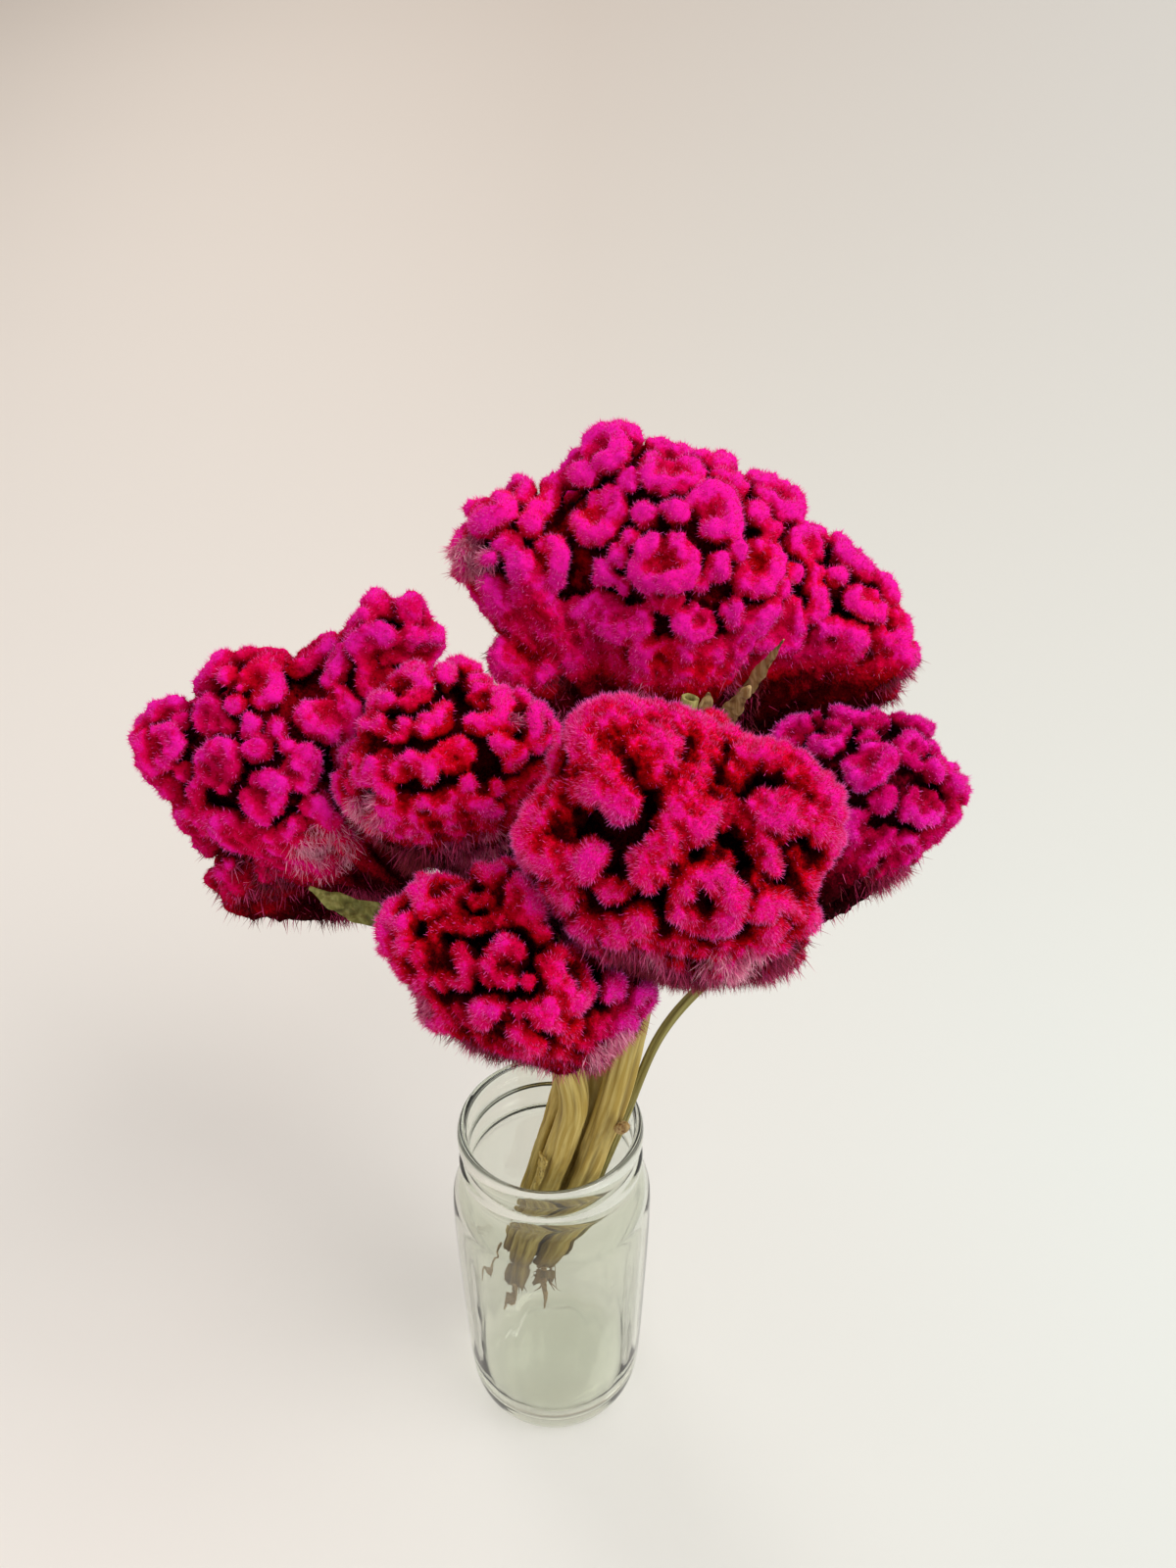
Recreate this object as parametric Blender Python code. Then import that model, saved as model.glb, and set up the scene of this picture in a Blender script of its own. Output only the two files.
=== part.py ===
"""Dried cockscomb in a glass jar: six crested flower heads on their stems, with dried leaves.

Metres, +Z up. The origin is the middle of the jar's flat underside. +X is the right-hand side of
the bunch and -Y its front. The stems stand in the jar as one leaning bundle and open out above
the mouth, each to the neck of its own head. Soft heads are plain closed domes: each one gives way
to the stems, leaves and heads that were there before it, as pressed flowers do.
"""

import math

import bmesh
import bpy
import numpy as np

MM = 0.001

# ---- Jar -------------------------------------------------------------------------------------
JAR_HEIGHT = 133 * MM
JAR_BODY_RADIUS = 35 * MM
JAR_HEEL_RADIUS = 32.2 * MM
JAR_BASE_RADIUS = 26.5 * MM
JAR_WALL = 2.9 * MM
JAR_FLOOR = 5.0 * MM
JAR_HEEL_HEIGHT = 11 * MM
JAR_SHOULDER_DROP = 33 * MM
JAR_NECK_DROP = 22.5 * MM
JAR_MOUTH_RADIUS = 28.2 * MM
JAR_NECK_WALL = 2.0 * MM
JAR_LIP_WIDTH = 3.6 * MM
JAR_LIP_HALF_HEIGHT = 3.6 * MM
JAR_FLOOR_CORNER = 6 * MM
JAR_SHOULDER_ROUND = 0.6 * MM
JAR_RING_DROP = 15.5 * MM
JAR_RING_BEAD = 1.7 * MM
JAR_SEGMENTS = 40
# Shares of the way up to the shoulder where the body is part way and fully out, and how far out.
BODY_PART_WAY = 0.5
BODY_FULL = 0.85
BODY_SWELL = 0.7
SHOULDER_TURN = 0.62

# ---- Clearances ------------------------------------------------------------------------------
TOUCH_GAP = 0.3 * MM
STEM_GAP = 0.5 * MM
HEAD_GAP = 1.2 * MM

# ---- Stems: radius of each, as it stands in the bundle ------------------------------------------
LOW_STEM_RADIUS = 5.2 * MM
FRONT_STEM_RADIUS = 5.0 * MM
LEFT_STEM_RADIUS = 3.9 * MM
MIDDLE_STEM_RADIUS = 4.1 * MM
BACK_STEM_RADIUS = 3.9 * MM
RIGHT_STEM_RADIUS = 1.6 * MM
STEM_SIDES = 10
STEM_FLATNESS = 0.94
STEM_GROOVE = 0.035
STRAIGHT_STATIONS = 5
PATH_FINENESS = 24
SWEEP_STATIONS = 12

# ---- Bundle: its middle at the cut ends and at the mouth, and how far it runs on as one ----------
FOOT_HEIGHT = 41 * MM
FOOT_REST = 0.3 * MM
FOOT_ANGLE = 131
MOUTH_X = 7.5 * MM
MOUTH_REST = 1.2 * MM
BUNDLE_ABOVE_MOUTH = 34 * MM

# ---- Heads: one scale for their sizes and places, then each head's middle, lobes and neck --------
# A middle is measured from the middle of the jar's mouth, lobes and neck from the head's middle.
# A lobe is (x, y, z, radius). All are in millimetres.
HEAD_SCALE = 1.0
HEADS = {
    "head_front": {
        "middle": (35, -38, 138),
        "lobes": [
            (0, 2, 0, 30), (-13, 3, 21, 21), (-27, -5, 5, 16), (23, 2, 10, 21), (8, -8, -18, 17),
            (25, 0, -25, 15), (4, 14, 12, 23), (-12, -4, -8, 21), (14, -2, -8, 24),
        ],
        "neck": (-4, 9, -31),
    },
    "head_front_low": {
        "middle": (-3, -46, 106),
        "lobes": [
            (0, 0, 0, 25), (-25, 5, 8, 15), (-16, -3, -6, 14), (13, -2, -20, 13), (23, 0, -5, 14),
            (-6, 6, 16, 15), (2, -12, 3, 16), (10, 0, -7, 20), (-12, 2, 4, 20),
        ],
        "neck": (5, 9, -26),
    },
    "head_middle_left": {
        "middle": (-27, -4, 141),
        "lobes": [
            (0, 0, 0, 22), (-20, 3, -5, 14), (19, 2, 8, 16), (2, 14, 8, 19), (-8, 8, 9, 18),
            (-8, 0, 0, 20), (9, 2, 2, 20),
        ],
        "neck": (8, 0, -23),
    },
    "head_back": {
        "middle": (43, 66, 172),
        "lobes": [
            (0, 0, -2, 38), (-21, 4, 27, 19), (-50, 0, 7, 23), (-48, -10, -22, 17),
            (44, 0, -10, 23), (62, -6, -23, 17), (18, 6, 10, 22), (-6, -14, -12, 22),
            (-20, 26, -6, 24), (18, 24, -12, 23), (-2, 6, 14, 24), (24, 4, -8, 30),
            (-28, 4, 0, 29),
        ],
        "neck": (-6, -14, -41),
    },
    "head_left": {
        "middle": (-76, 20, 126),
        "lobes": [
            (0, 0, 0, 31), (-31, 2, 8, 17), (31, 12, 35, 17), (-8, 6, 20, 20),
            (-12, -12, -28, 15), (10, -10, -14, 15), (22, 6, 14, 18), (-10, 20, 4, 22),
            (10, 20, 14, 22), (-16, 0, -4, 23), (12, 4, 2, 24),
        ],
        "neck": (19, -7, -28),
    },
    "head_right": {
        "middle": (93, 12, 124),
        "lobes": [
            (0, 0, 0, 24), (22, 0, -2, 13), (6, -6, -11, 15), (-10, 8, 6, 18), (8, 12, 4, 18),
            (10, 0, 1, 19),
        ],
        "neck": (-8, -6, -24),
    },
}
HEAD_SIDES = 30
HEAD_RINGS = 17
NECK_MARGIN = 1.4 * MM
NECK_RUN = 11 * MM
NECK_RINGS = 3
NECK_TAPER = 0.14
LOBE_BLEND = 5 * MM
MARCH_START = 6 * MM
MARCH_STEP = 0.5 * MM
MARCH_LIMIT = 95 * MM

# ---- Colours: base colour and roughness ---------------------------------------------------------
MAGENTA = (0.72, 0.02, 0.22)
PURPLE = (0.58, 0.02, 0.34)
STRAW = (0.45, 0.33, 0.13)
OLIVE = (0.27, 0.25, 0.08)
TAN = (0.50, 0.36, 0.20)
BROWN = (0.24, 0.15, 0.07)
GLASS_GREEN = (0.86, 0.91, 0.88)
DRY_ROUGHNESS = 0.8
GLASS_ROUGHNESS = 0.06


def clear_scene():
    for old in list(bpy.data.objects):
        bpy.data.objects.remove(old)


def material(name, colour, roughness=DRY_ROUGHNESS, transmission=0.0):
    made = bpy.data.materials.new(name)
    made.use_nodes = True
    shader = made.node_tree.nodes["Principled BSDF"]
    shader.inputs["Base Color"].default_value = (*colour, 1.0)
    shader.inputs["Roughness"].default_value = roughness
    shader.inputs["Metallic"].default_value = 0.0
    shader.inputs["Transmission Weight"].default_value = transmission
    return made


def add_object(name, points, faces, finish):
    """A closed mesh object, with its faces pointing out and smooth shading."""
    mesh = bpy.data.meshes.new(name)
    mesh.from_pydata([tuple(map(float, p)) for p in points], [], faces)
    grown = bmesh.new()
    grown.from_mesh(mesh)
    bmesh.ops.recalc_face_normals(grown, faces=grown.faces)
    bmesh.ops.triangulate(grown, faces=grown.faces)
    grown.to_mesh(mesh)
    grown.free()
    mesh.shade_smooth()
    mesh.set_sharp_from_angle(angle=math.radians(50))
    mesh.materials.append(finish)
    bpy.context.scene.collection.objects.link(bpy.data.objects.new(name, mesh))


def skin(rings, start, end):
    """Points and faces of a body made of rings of equal count, closed at a point at each end."""
    count = len(rings[0])
    points = [start] + [p for ring in rings for p in ring] + [end]
    last = len(points) - 1
    top = 1 + (len(rings) - 1) * count
    faces = []
    for k in range(count):
        n = (k + 1) % count
        faces.append((0, 1 + n, 1 + k))
        faces.append((last, top + k, top + n))
        for r in range(len(rings) - 1):
            low = 1 + r * count
            high = low + count
            faces.append((low + k, low + n, high + n, high + k))
    return points, faces


def unit(vector):
    vector = np.asarray(vector, float)
    return vector / np.linalg.norm(vector)


def smooth_path(points, stations, first_way=None):
    """A smooth curve through the points, read at even distances. first_way is how it sets off."""
    points = np.asarray(points, float)
    ways = np.gradient(points, axis=0)
    if first_way is not None:
        ways[0] = np.asarray(first_way) * np.linalg.norm(points[1] - points[0])
    fine = []
    for p, q, out, into in zip(points[:-1], points[1:], ways[:-1], ways[1:]):
        for t in np.linspace(0, 1, PATH_FINENESS, endpoint=False):
            rise = t * t * (3 - 2 * t)
            fine.append(p + (q - p) * rise + out * (t * (1 - t) ** 2) - into * (t * t * (1 - t)))
    fine = np.array(fine + [points[-1]])
    walked = np.concatenate([[0], np.cumsum(np.linalg.norm(np.diff(fine, axis=0), axis=1))])
    wanted = np.linspace(0, walked[-1], stations)
    return np.column_stack([np.interp(wanted, walked, fine[:, k]) for k in range(3)])


def swept(path, half_widths, half_depths, facing, sides, groove=0.0, cup=0.0, last_way=None):
    """Rings round a path. facing is the side that the broad face looks to; cup bends it hollow."""
    tangents = np.gradient(path, axis=0)
    if last_way is not None:
        tangents[-1] = last_way
    rings = []
    for p, tangent, a, b in zip(path, tangents, half_widths, half_depths):
        tangent = unit(tangent)
        across = unit(np.cross(tangent, facing))
        out = np.cross(across, tangent)
        ring = []
        for k in range(sides):
            angle = 2 * math.pi * (k + 0.5) / sides
            swell = 1 - groove * (k % 2)
            u = math.cos(angle)
            ring.append(p + across * a * u * swell + out * (b * math.sin(angle) * swell + cup * a * u * u))
        rings.append(ring)
    return rings


def bead(r, z, reach, half, steps):
    """A half-round bead that stands out from a wall of radius r, from z - half to z + half."""
    angles = np.linspace(-math.pi / 2, math.pi / 2, steps)
    return [(r + reach * math.cos(a), z + half * math.sin(a)) for a in angles]


def build_jar(finish):
    """The jar's turned outline: underside, heel, body, shoulder, ring, lip, and back down inside."""
    neck = JAR_HEIGHT - JAR_NECK_DROP
    shoulder = JAR_HEIGHT - JAR_SHOULDER_DROP
    neck_radius = JAR_MOUTH_RADIUS + JAR_NECK_WALL
    lip_z = JAR_HEIGHT - JAR_LIP_HALF_HEIGHT
    swell = (JAR_BODY_RADIUS - JAR_HEEL_RADIUS) * BODY_SWELL
    outline = [(0, 0), (JAR_BASE_RADIUS * 0.5, 0), (JAR_BASE_RADIUS, 0)]
    for turn in np.radians([25, 50, 75]):
        rise = JAR_HEEL_HEIGHT * (1 - math.cos(turn))
        outline.append((JAR_BASE_RADIUS + (JAR_HEEL_RADIUS - JAR_BASE_RADIUS) * math.sin(turn), rise))
    outline += [(JAR_HEEL_RADIUS, JAR_HEEL_HEIGHT), (JAR_HEEL_RADIUS + swell, shoulder * BODY_PART_WAY)]
    outline += [(JAR_BODY_RADIUS, shoulder * BODY_FULL), (JAR_BODY_RADIUS, shoulder)]
    turn_radius = (JAR_BODY_RADIUS + neck_radius) / 2 + JAR_SHOULDER_ROUND
    outline += [(turn_radius, shoulder + (neck - shoulder) * SHOULDER_TURN), (neck_radius, neck)]
    outline += bead(neck_radius, JAR_HEIGHT - JAR_RING_DROP, JAR_RING_BEAD, JAR_RING_BEAD, 5)
    outline += [(neck_radius, lip_z - JAR_LIP_HALF_HEIGHT)]
    lip_half = JAR_LIP_WIDTH / 2
    for turn in np.radians([0, 45, 90, 135, 180]):
        rise = JAR_LIP_HALF_HEIGHT * math.sin(turn)
        outline.append((JAR_MOUTH_RADIUS + lip_half * (1 + math.cos(turn)), lip_z + rise))
    inside = JAR_BODY_RADIUS - JAR_WALL
    inner_heel = JAR_HEEL_RADIUS - JAR_WALL
    outline += [(JAR_MOUTH_RADIUS, neck), (inside, shoulder), (inside, shoulder * BODY_FULL)]
    outline += [(inner_heel + swell, shoulder * BODY_PART_WAY)]
    for turn in np.radians([0, 45, 90]):
        outline.append((
            inner_heel - JAR_FLOOR_CORNER * (1 - math.cos(turn)),
            JAR_FLOOR + JAR_FLOOR_CORNER * (1 - math.sin(turn)),
        ))
    outline += [(inner_heel * 0.5, JAR_FLOOR), (0, JAR_FLOOR)]
    rings = []
    for r, z in outline[1:-1]:
        turns = [2 * math.pi * k / JAR_SEGMENTS for k in range(JAR_SEGMENTS)]
        rings.append([(r * math.cos(a), r * math.sin(a), z) for a in turns])
    points, faces = skin(rings, (0, 0, outline[0][1]), (0, 0, outline[-1][1]))
    add_object("jar", points, faces, finish)


def bundle_slots():
    """Where each stem stands across the bundle: two thick ones in front, three behind, one beside."""
    low = (-(LOW_STEM_RADIUS + STEM_GAP / 2), 0.0)
    front = (FRONT_STEM_RADIUS + STEM_GAP / 2, 0.0)
    middle = (0.0, stand_behind(0.0, MIDDLE_STEM_RADIUS))
    left_x = -(MIDDLE_STEM_RADIUS + LEFT_STEM_RADIUS + STEM_GAP)
    back_x = MIDDLE_STEM_RADIUS + BACK_STEM_RADIUS + STEM_GAP
    left = (left_x, max(stand_behind(left_x, LEFT_STEM_RADIUS), middle[1]))
    back = (back_x, max(stand_behind(back_x, BACK_STEM_RADIUS), middle[1]))
    right = nestled(front, FRONT_STEM_RADIUS, back, BACK_STEM_RADIUS, RIGHT_STEM_RADIUS)
    drop = middle[1] / 2
    slots = dict(low=low, front=front, middle=middle, left=left, back=back, right=right)
    return {name: (x, y - drop) for name, (x, y) in slots.items()}


def nestled(first, first_radius, second, second_radius, radius):
    """The place to the right of two stems where a third one just clears them both."""
    first, second = np.array(first), np.array(second)
    span = np.linalg.norm(second - first)
    to_first = first_radius + radius + STEM_GAP
    to_second = max(second_radius + radius + STEM_GAP, span - to_first)
    along = (span**2 + to_first**2 - to_second**2) / (2 * span)
    out = math.sqrt(max(to_first**2 - along**2, 0.0))
    way = (second - first) / span
    return tuple(first + way * along + np.array([way[1], -way[0]]) * out)


def stand_behind(x, radius):
    """How far behind the front pair a stem at x has to stand to clear both of them."""
    depth = 0.0
    for x_front, r_front in ((-LOW_STEM_RADIUS, LOW_STEM_RADIUS), (FRONT_STEM_RADIUS, FRONT_STEM_RADIUS)):
        reach = radius + r_front + STEM_GAP
        across = min(abs(x - x_front), reach)
        depth = max(depth, math.sqrt(reach**2 - across**2))
    return depth


class Bundle:
    """The leaning bundle: a middle line, and the directions across it."""

    def __init__(self):
        slots = bundle_slots()
        front_reach = max(LOW_STEM_RADIUS, FRONT_STEM_RADIUS) - slots["front"][1]
        side_reach = MOUTH_X + slots["front"][0]
        chord = math.sqrt(JAR_MOUTH_RADIUS**2 - side_reach**2)
        self.slots = slots
        inside = min(JAR_HEEL_RADIUS, JAR_BODY_RADIUS) - JAR_WALL
        away = inside - self.reach() - FOOT_REST
        turn = math.radians(FOOT_ANGLE)
        self.foot = np.array([away * math.cos(turn), away * math.sin(turn), FOOT_HEIGHT])
        self.mouth = np.array([MOUTH_X, -(chord - front_reach - MOUTH_REST), JAR_HEIGHT])
        self.up = unit(self.mouth - self.foot)
        self.right = unit(np.cross((0, 1, 0), self.up))
        self.behind = np.cross(self.up, self.right)

    def reach(self):
        """How far the bundle reaches from its middle line."""
        radii = {slot: radius for slot, head, radius, shorter, way in STEMS.values()}
        return max(math.hypot(x, y) + radii[name] for name, (x, y) in self.slots.items())

    def at(self, name, height):
        """The middle of a stem where the bundle's own middle is at a height."""
        x, y = self.slots[name]
        run = (height - self.foot[2]) / self.up[2]
        return self.foot + self.up * run + self.right * x + self.behind * y


def head_middle(name):
    """Scaled with the heads, so that larger heads stand as far apart for their size."""
    return np.array([0, 0, JAR_HEIGHT]) + np.array(HEADS[name]["middle"]) * MM * HEAD_SCALE


def neck_point(name):
    return head_middle(name) + np.array(HEADS[name]["neck"]) * MM * HEAD_SCALE


def head_lobes(name):
    """A head's lobes, as (middle from the head's own middle, radius), in metres."""
    scale = MM * HEAD_SCALE
    return [(np.array([x, y, z]) * scale, r * scale) for x, y, z, r in HEADS[name]["lobes"]]


# Each stem: slot, head, radius, how much further up its cut end is, and points on its way.
STEMS = {
    "stem_front_low": ("low", "head_front_low", LOW_STEM_RADIUS, 0.0, []),
    "stem_front": ("front", "head_front", FRONT_STEM_RADIUS, 5 * MM, []),
    "stem_middle_left": ("middle", "head_middle_left", MIDDLE_STEM_RADIUS, 3 * MM, [(2, -6, 84)]),
    "stem_back": ("back", "head_back", BACK_STEM_RADIUS, 9 * MM, [(27, 3, 80), (33, 28, 108)]),
    "stem_left": ("left", "head_left", LEFT_STEM_RADIUS, -2 * MM, [(-12, -2, 72), (-36, 4, 92)]),
    "stem_right": ("right", "head_right", RIGHT_STEM_RADIUS, 16 * MM, [(36, -24, 66), (58, -17, 88)]),
}


def stem_path(bundle, name):
    """Straight up through the bundle, then in one smooth sweep to the neck of the stem's head."""
    slot, head, radius, shorter, way = STEMS[name]
    heights = np.linspace(FOOT_HEIGHT + shorter, JAR_HEIGHT + BUNDLE_ABOVE_MOUTH, STRAIGHT_STATIONS)
    straight = [bundle.at(slot, h) for h in heights]
    neck = neck_point(head)
    inward = unit(head_middle(head) - neck)
    points = [straight[-1]]
    points += [np.array([0, 0, JAR_HEIGHT]) + np.array(p) * MM for p in way]
    points += [neck - inward * NECK_RUN, neck - inward * TOUCH_GAP]
    sweep = smooth_path(points, SWEEP_STATIONS, bundle.up)
    return np.vstack([straight, sweep[1:]])


def build_stem(bundle, name, finish):
    radius = STEMS[name][2]
    path = stem_path(bundle, name)
    thick = np.full(len(path), radius)
    inward = head_middle(STEMS[name][1]) - neck_point(STEMS[name][1])
    depth = thick * STEM_FLATNESS
    rings = swept(path, thick, depth, (0, -1, 0.2), STEM_SIDES, STEM_GROOVE, 0.0, inward)
    points, faces = skin(rings, path[0], path[-1])
    add_object(name, points, faces, finish)
    return path


def lobed_radius(directions, lobes):
    """Distance from a head's middle to its surface along each direction: lobes blended together."""
    reach = np.zeros(len(directions))
    total = np.zeros(len(directions))
    for c, r in lobes:
        along = directions @ c
        inside = along**2 - (c @ c - r * r)
        hit = np.where(inside > 0, along + np.sqrt(np.maximum(inside, 0)), 0.0)
        weight = np.exp(hit / LOBE_BLEND) - 1
        reach += weight * hit
        total += weight
    return reach / np.maximum(total, 1e-9)


def head_directions(down, start_angle):
    """Directions from a head's middle, ring by ring, from round its neck to its crown."""
    side = unit(np.cross(down, (0.3, 1, 0.1)))
    other = np.cross(down, side)
    rings = []
    for i in range(HEAD_RINGS):
        share = i / HEAD_RINGS
        angle = start_angle + (math.pi - start_angle) * share
        turns = 2 * math.pi * (np.arange(HEAD_SIDES) + 0.5 * (i % 2)) / HEAD_SIDES
        flat = np.outer(np.cos(turns), side) + np.outer(np.sin(turns), other)
        rings.append(math.cos(angle) * down + math.sin(angle) * flat)
    return rings


class Obstacle:
    """What a soft head gives way to: round rods along paths, and heads that are already there."""

    def __init__(self):
        self.rods = []
        self.heads = []

    def distance(self, points, skip):
        nearest = np.full(len(points), 1.0)
        for name, path, radius in self.rods:
            if name == skip:
                continue
            for a, b in zip(path[:-1], path[1:]):
                span = b - a
                t = np.clip(((points - a) @ span) / (span @ span), 0, 1)
                gap = np.linalg.norm(points - (a + t[:, None] * span), axis=1) - radius
                nearest = np.minimum(nearest, gap)
        for middle, lobes in self.heads:
            for c, r in lobes:
                nearest = np.minimum(nearest, np.linalg.norm(points - middle - c, axis=1) - r)
        return nearest


def build_head(name, obstacle, own_stem, stem_radius, finish):
    middle = head_middle(name)
    neck = neck_point(name)
    down = unit(neck - middle)
    neck_radius = stem_radius + NECK_MARGIN
    depth = np.linalg.norm(neck - middle)
    start = math.atan2(neck_radius, depth)
    rings = head_directions(down, start)
    lobes = head_lobes(name)
    rim = math.hypot(neck_radius, depth)
    shaped = [middle + rings[0] * rim]
    for i, ring in enumerate(rings[1:], 1):
        reach = lobed_radius(ring, lobes)
        if i < NECK_RINGS:
            reach = np.maximum(reach, rim * (1 - NECK_TAPER * i))
        stopped = np.zeros(len(ring), bool)
        limit = reach.copy()
        for step in np.arange(MARCH_START, MARCH_LIMIT, MARCH_STEP):
            close = obstacle.distance(middle + ring * step, own_stem) < HEAD_GAP
            newly = close & ~stopped & (step <= reach)
            limit[newly] = step - MARCH_STEP
            stopped |= close
        shaped.append(middle + ring * np.minimum(reach, limit)[:, None])
    crown = -down
    top = lobed_radius(crown[None, :], lobes)[0]
    points, faces = skin(shaped, neck, middle + crown * top)
    add_object(name, points, faces, finish)
    obstacle.heads.append((middle, lobes))


# Each leaf grows from the side of a stem: the stem, the height above the mouth, the side, points on
# its midline from there, half width, half depth, the side that its broad face looks to, its cup.
LEAVES = {
    "leaf_under_left": ("stem_left", 88, (-0.1, -1, -0.3),
                        [(0, 0, 0), (-12, -6, 6), (-25, -8, 10), (-38, -5, 16)],
                        4.2, 0.7, (0.1, -0.6, 0.8), 0.25),
    "leaf_back_short": ("stem_back", 110, (0.4, -1, 0.2),
                        [(0, 0, 0), (8, -3, 20), (12, -9, 43)], 4.5, 0.6, (0.3, -1, 0.4), 0.3),
    "leaf_back_long": ("stem_back", 115, (1, -0.6, 0.2),
                       [(0, 0, 0), (13, -7, 20), (20, -18, 39)], 4.0, 0.6, (-0.2, -1, 0.3), 0.3),
    "leaf_back_thin": ("stem_back", 120, (1, 0, 0.2),
                       [(0, 0, 0), (19, -6, 18), (29, -21, 45)], 2.3, 0.6, (-0.5, -1, 0.2), 0.2),
}
LEAF_STATIONS = 10
LEAF_SIDES = 10
LEAF_BASE = 0.22
LEAF_TIP = 0.12
LEAF_BROAD_AT = 0.8
LEAF_FULLNESS = 0.9
LEAF_THIN = 0.6

# Strips of bark that have split away: the stem, the height where each starts, the side it comes
# away from, points from there, and half its width.
STRIPS = {
    "bark_strip_mouth": ("stem_front_low", 10, (-0.85, -0.5, 0),
                         [(0, 0, 0), (-1.2, 0.4, -8), (-3.2, 1.2, -16)], 2.4),
    "bark_strip_left": ("stem_left", -80, (-1, -0.2, 0),
                        [(0, 0, 0), (-3.5, -3.5, -6), (-5, -8, -10)], 1.1),
    "bark_strip_foot": ("stem_front_low", -86, (-0.25, -1, 0),
                        [(0, 0, 0), (-1.2, -0.8, -6), (-3, -1, -13)], 1.3),
    "bark_strip_inner": ("stem_front", -82, (-0.25, -1, 0),
                         [(0, 0, 0), (0.8, -0.8, -6), (0.2, -1, -14)], 1.3),
}
STRIP_HALF_DEPTH = 0.55 * MM
STRIP_SIDES = 8
STRIP_TAPER = 0.7
STRIP_TAPER_LATE = 1.5

# The stub of a side branch that was cut off: a short tube from the back stem, open at its end.
STUB_HEIGHT = 101
STUB_SIDE = (0.1, -1, 0.1)
STUB_WAY = [(0, 0.2, 1.5), (3, -6, 20), (9, -8, 56)]
STUB_RADIUS = 2.6 * MM
STUB_WALL = 0.9 * MM
STUB_DEPTH = 6 * MM
STUB_SIDES = 12
STUB_STATIONS = 6
STUB_WAIST = 0.9
STUB_BORE_TAPER = 0.8

# A dried side bud, on the right of the front stem above the mouth.
BUD_ABOVE_MOUTH = 31 * MM
BUD_SIDE = (0.75, -0.65, 0)
BUD_LENGTH = 6 * MM
BUD_RADIUS = 1.9 * MM
BUD_SIDES = 10
BUD_SHARES = (0.12, 0.3, 0.5, 0.7, 0.88)
BUD_FULLNESS = 0.7
BUD_UP = (0.1, -0.1, 1.0)


def surface_point(name, paths, height, towards, clear):
    """A point beside a stem, clear of its side, at a height in mm above the jar's mouth."""
    path = paths[name]
    heights = path[:, 2] - JAR_HEIGHT
    middle = np.array([np.interp(height * MM, heights, path[:, k]) for k in range(3)])
    return middle + unit(towards) * (STEMS[name][2] + clear + TOUCH_GAP)


def build_leaf(name, paths, finish):
    stem, height, side, way, half_width, half_depth, facing, cup = LEAVES[name]
    share = np.linspace(0, 1, LEAF_STATIONS)
    outline = LEAF_BASE + (1 - LEAF_BASE) * np.sin(math.pi * share**LEAF_BROAD_AT) ** LEAF_FULLNESS
    outline[-1] = LEAF_TIP
    start = surface_point(stem, paths, height, side, half_width * MM * LEAF_BASE)
    path = smooth_path([start + np.array(p) * MM for p in way], LEAF_STATIONS)
    widths = half_width * MM * outline
    depths = half_depth * MM * (LEAF_THIN + (1 - LEAF_THIN) * outline)
    rings = swept(path, widths, depths, facing, LEAF_SIDES, 0.0, cup)
    points, faces = skin(rings, np.mean(rings[0], axis=0), np.mean(rings[-1], axis=0))
    add_object(name, points, faces, finish)
    return path


def build_strip(name, paths, finish):
    stem, height, towards, way, half_width = STRIPS[name]
    start = surface_point(stem, paths, height, towards, STRIP_HALF_DEPTH)
    points = [start + np.array(p) * MM for p in way]
    path = smooth_path(points, LEAF_STATIONS)
    share = np.linspace(0, 1, LEAF_STATIONS)
    widths = half_width * MM * (1 - STRIP_TAPER * share**STRIP_TAPER_LATE)
    depths = np.full(LEAF_STATIONS, STRIP_HALF_DEPTH)
    rings = swept(path, widths, depths, towards, STRIP_SIDES)
    points, faces = skin(rings, path[0], path[-1])
    add_object(name, points, faces, finish)


def room_for_growth(head, point):
    """How far a point beside a head has to move when the heads are scaled, to stay as clear of it."""
    away = unit(point - head_middle(head))
    reach = lobed_radius(away[None, :], head_lobes(head))[0]
    return away * reach * (1 - 1 / HEAD_SCALE)


def build_stub(paths, finish):
    """Rings up the outside, over the rim and down into the bore, then its floor."""
    base = surface_point("stem_back", paths, STUB_HEIGHT, STUB_SIDE, STUB_RADIUS)
    points = [base + np.array(p) * MM for p in STUB_WAY]
    points[-1] = points[-1] + room_for_growth("head_front", points[-1])
    way = smooth_path(points, STUB_STATIONS)
    end = way[-1]
    up = unit(way[-1] - way[-2])
    floor = end - up * STUB_DEPTH
    bore = STUB_RADIUS - STUB_WALL
    stations = [(p, STUB_RADIUS * STUB_WAIST) for p in way[:-1]]
    stations += [(end, STUB_RADIUS), (end, bore), (floor, bore * STUB_BORE_TAPER)]
    side = unit(np.cross(up, (0, 1, 0)))
    other = np.cross(up, side)
    turns = [2 * math.pi * k / STUB_SIDES for k in range(STUB_SIDES)]
    rings = [[p + r * (math.cos(a) * side + math.sin(a) * other) for a in turns] for p, r in stations]
    points, faces = skin(rings, way[0], floor)
    add_object("cut_stub", points, faces, finish)
    return way


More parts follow.
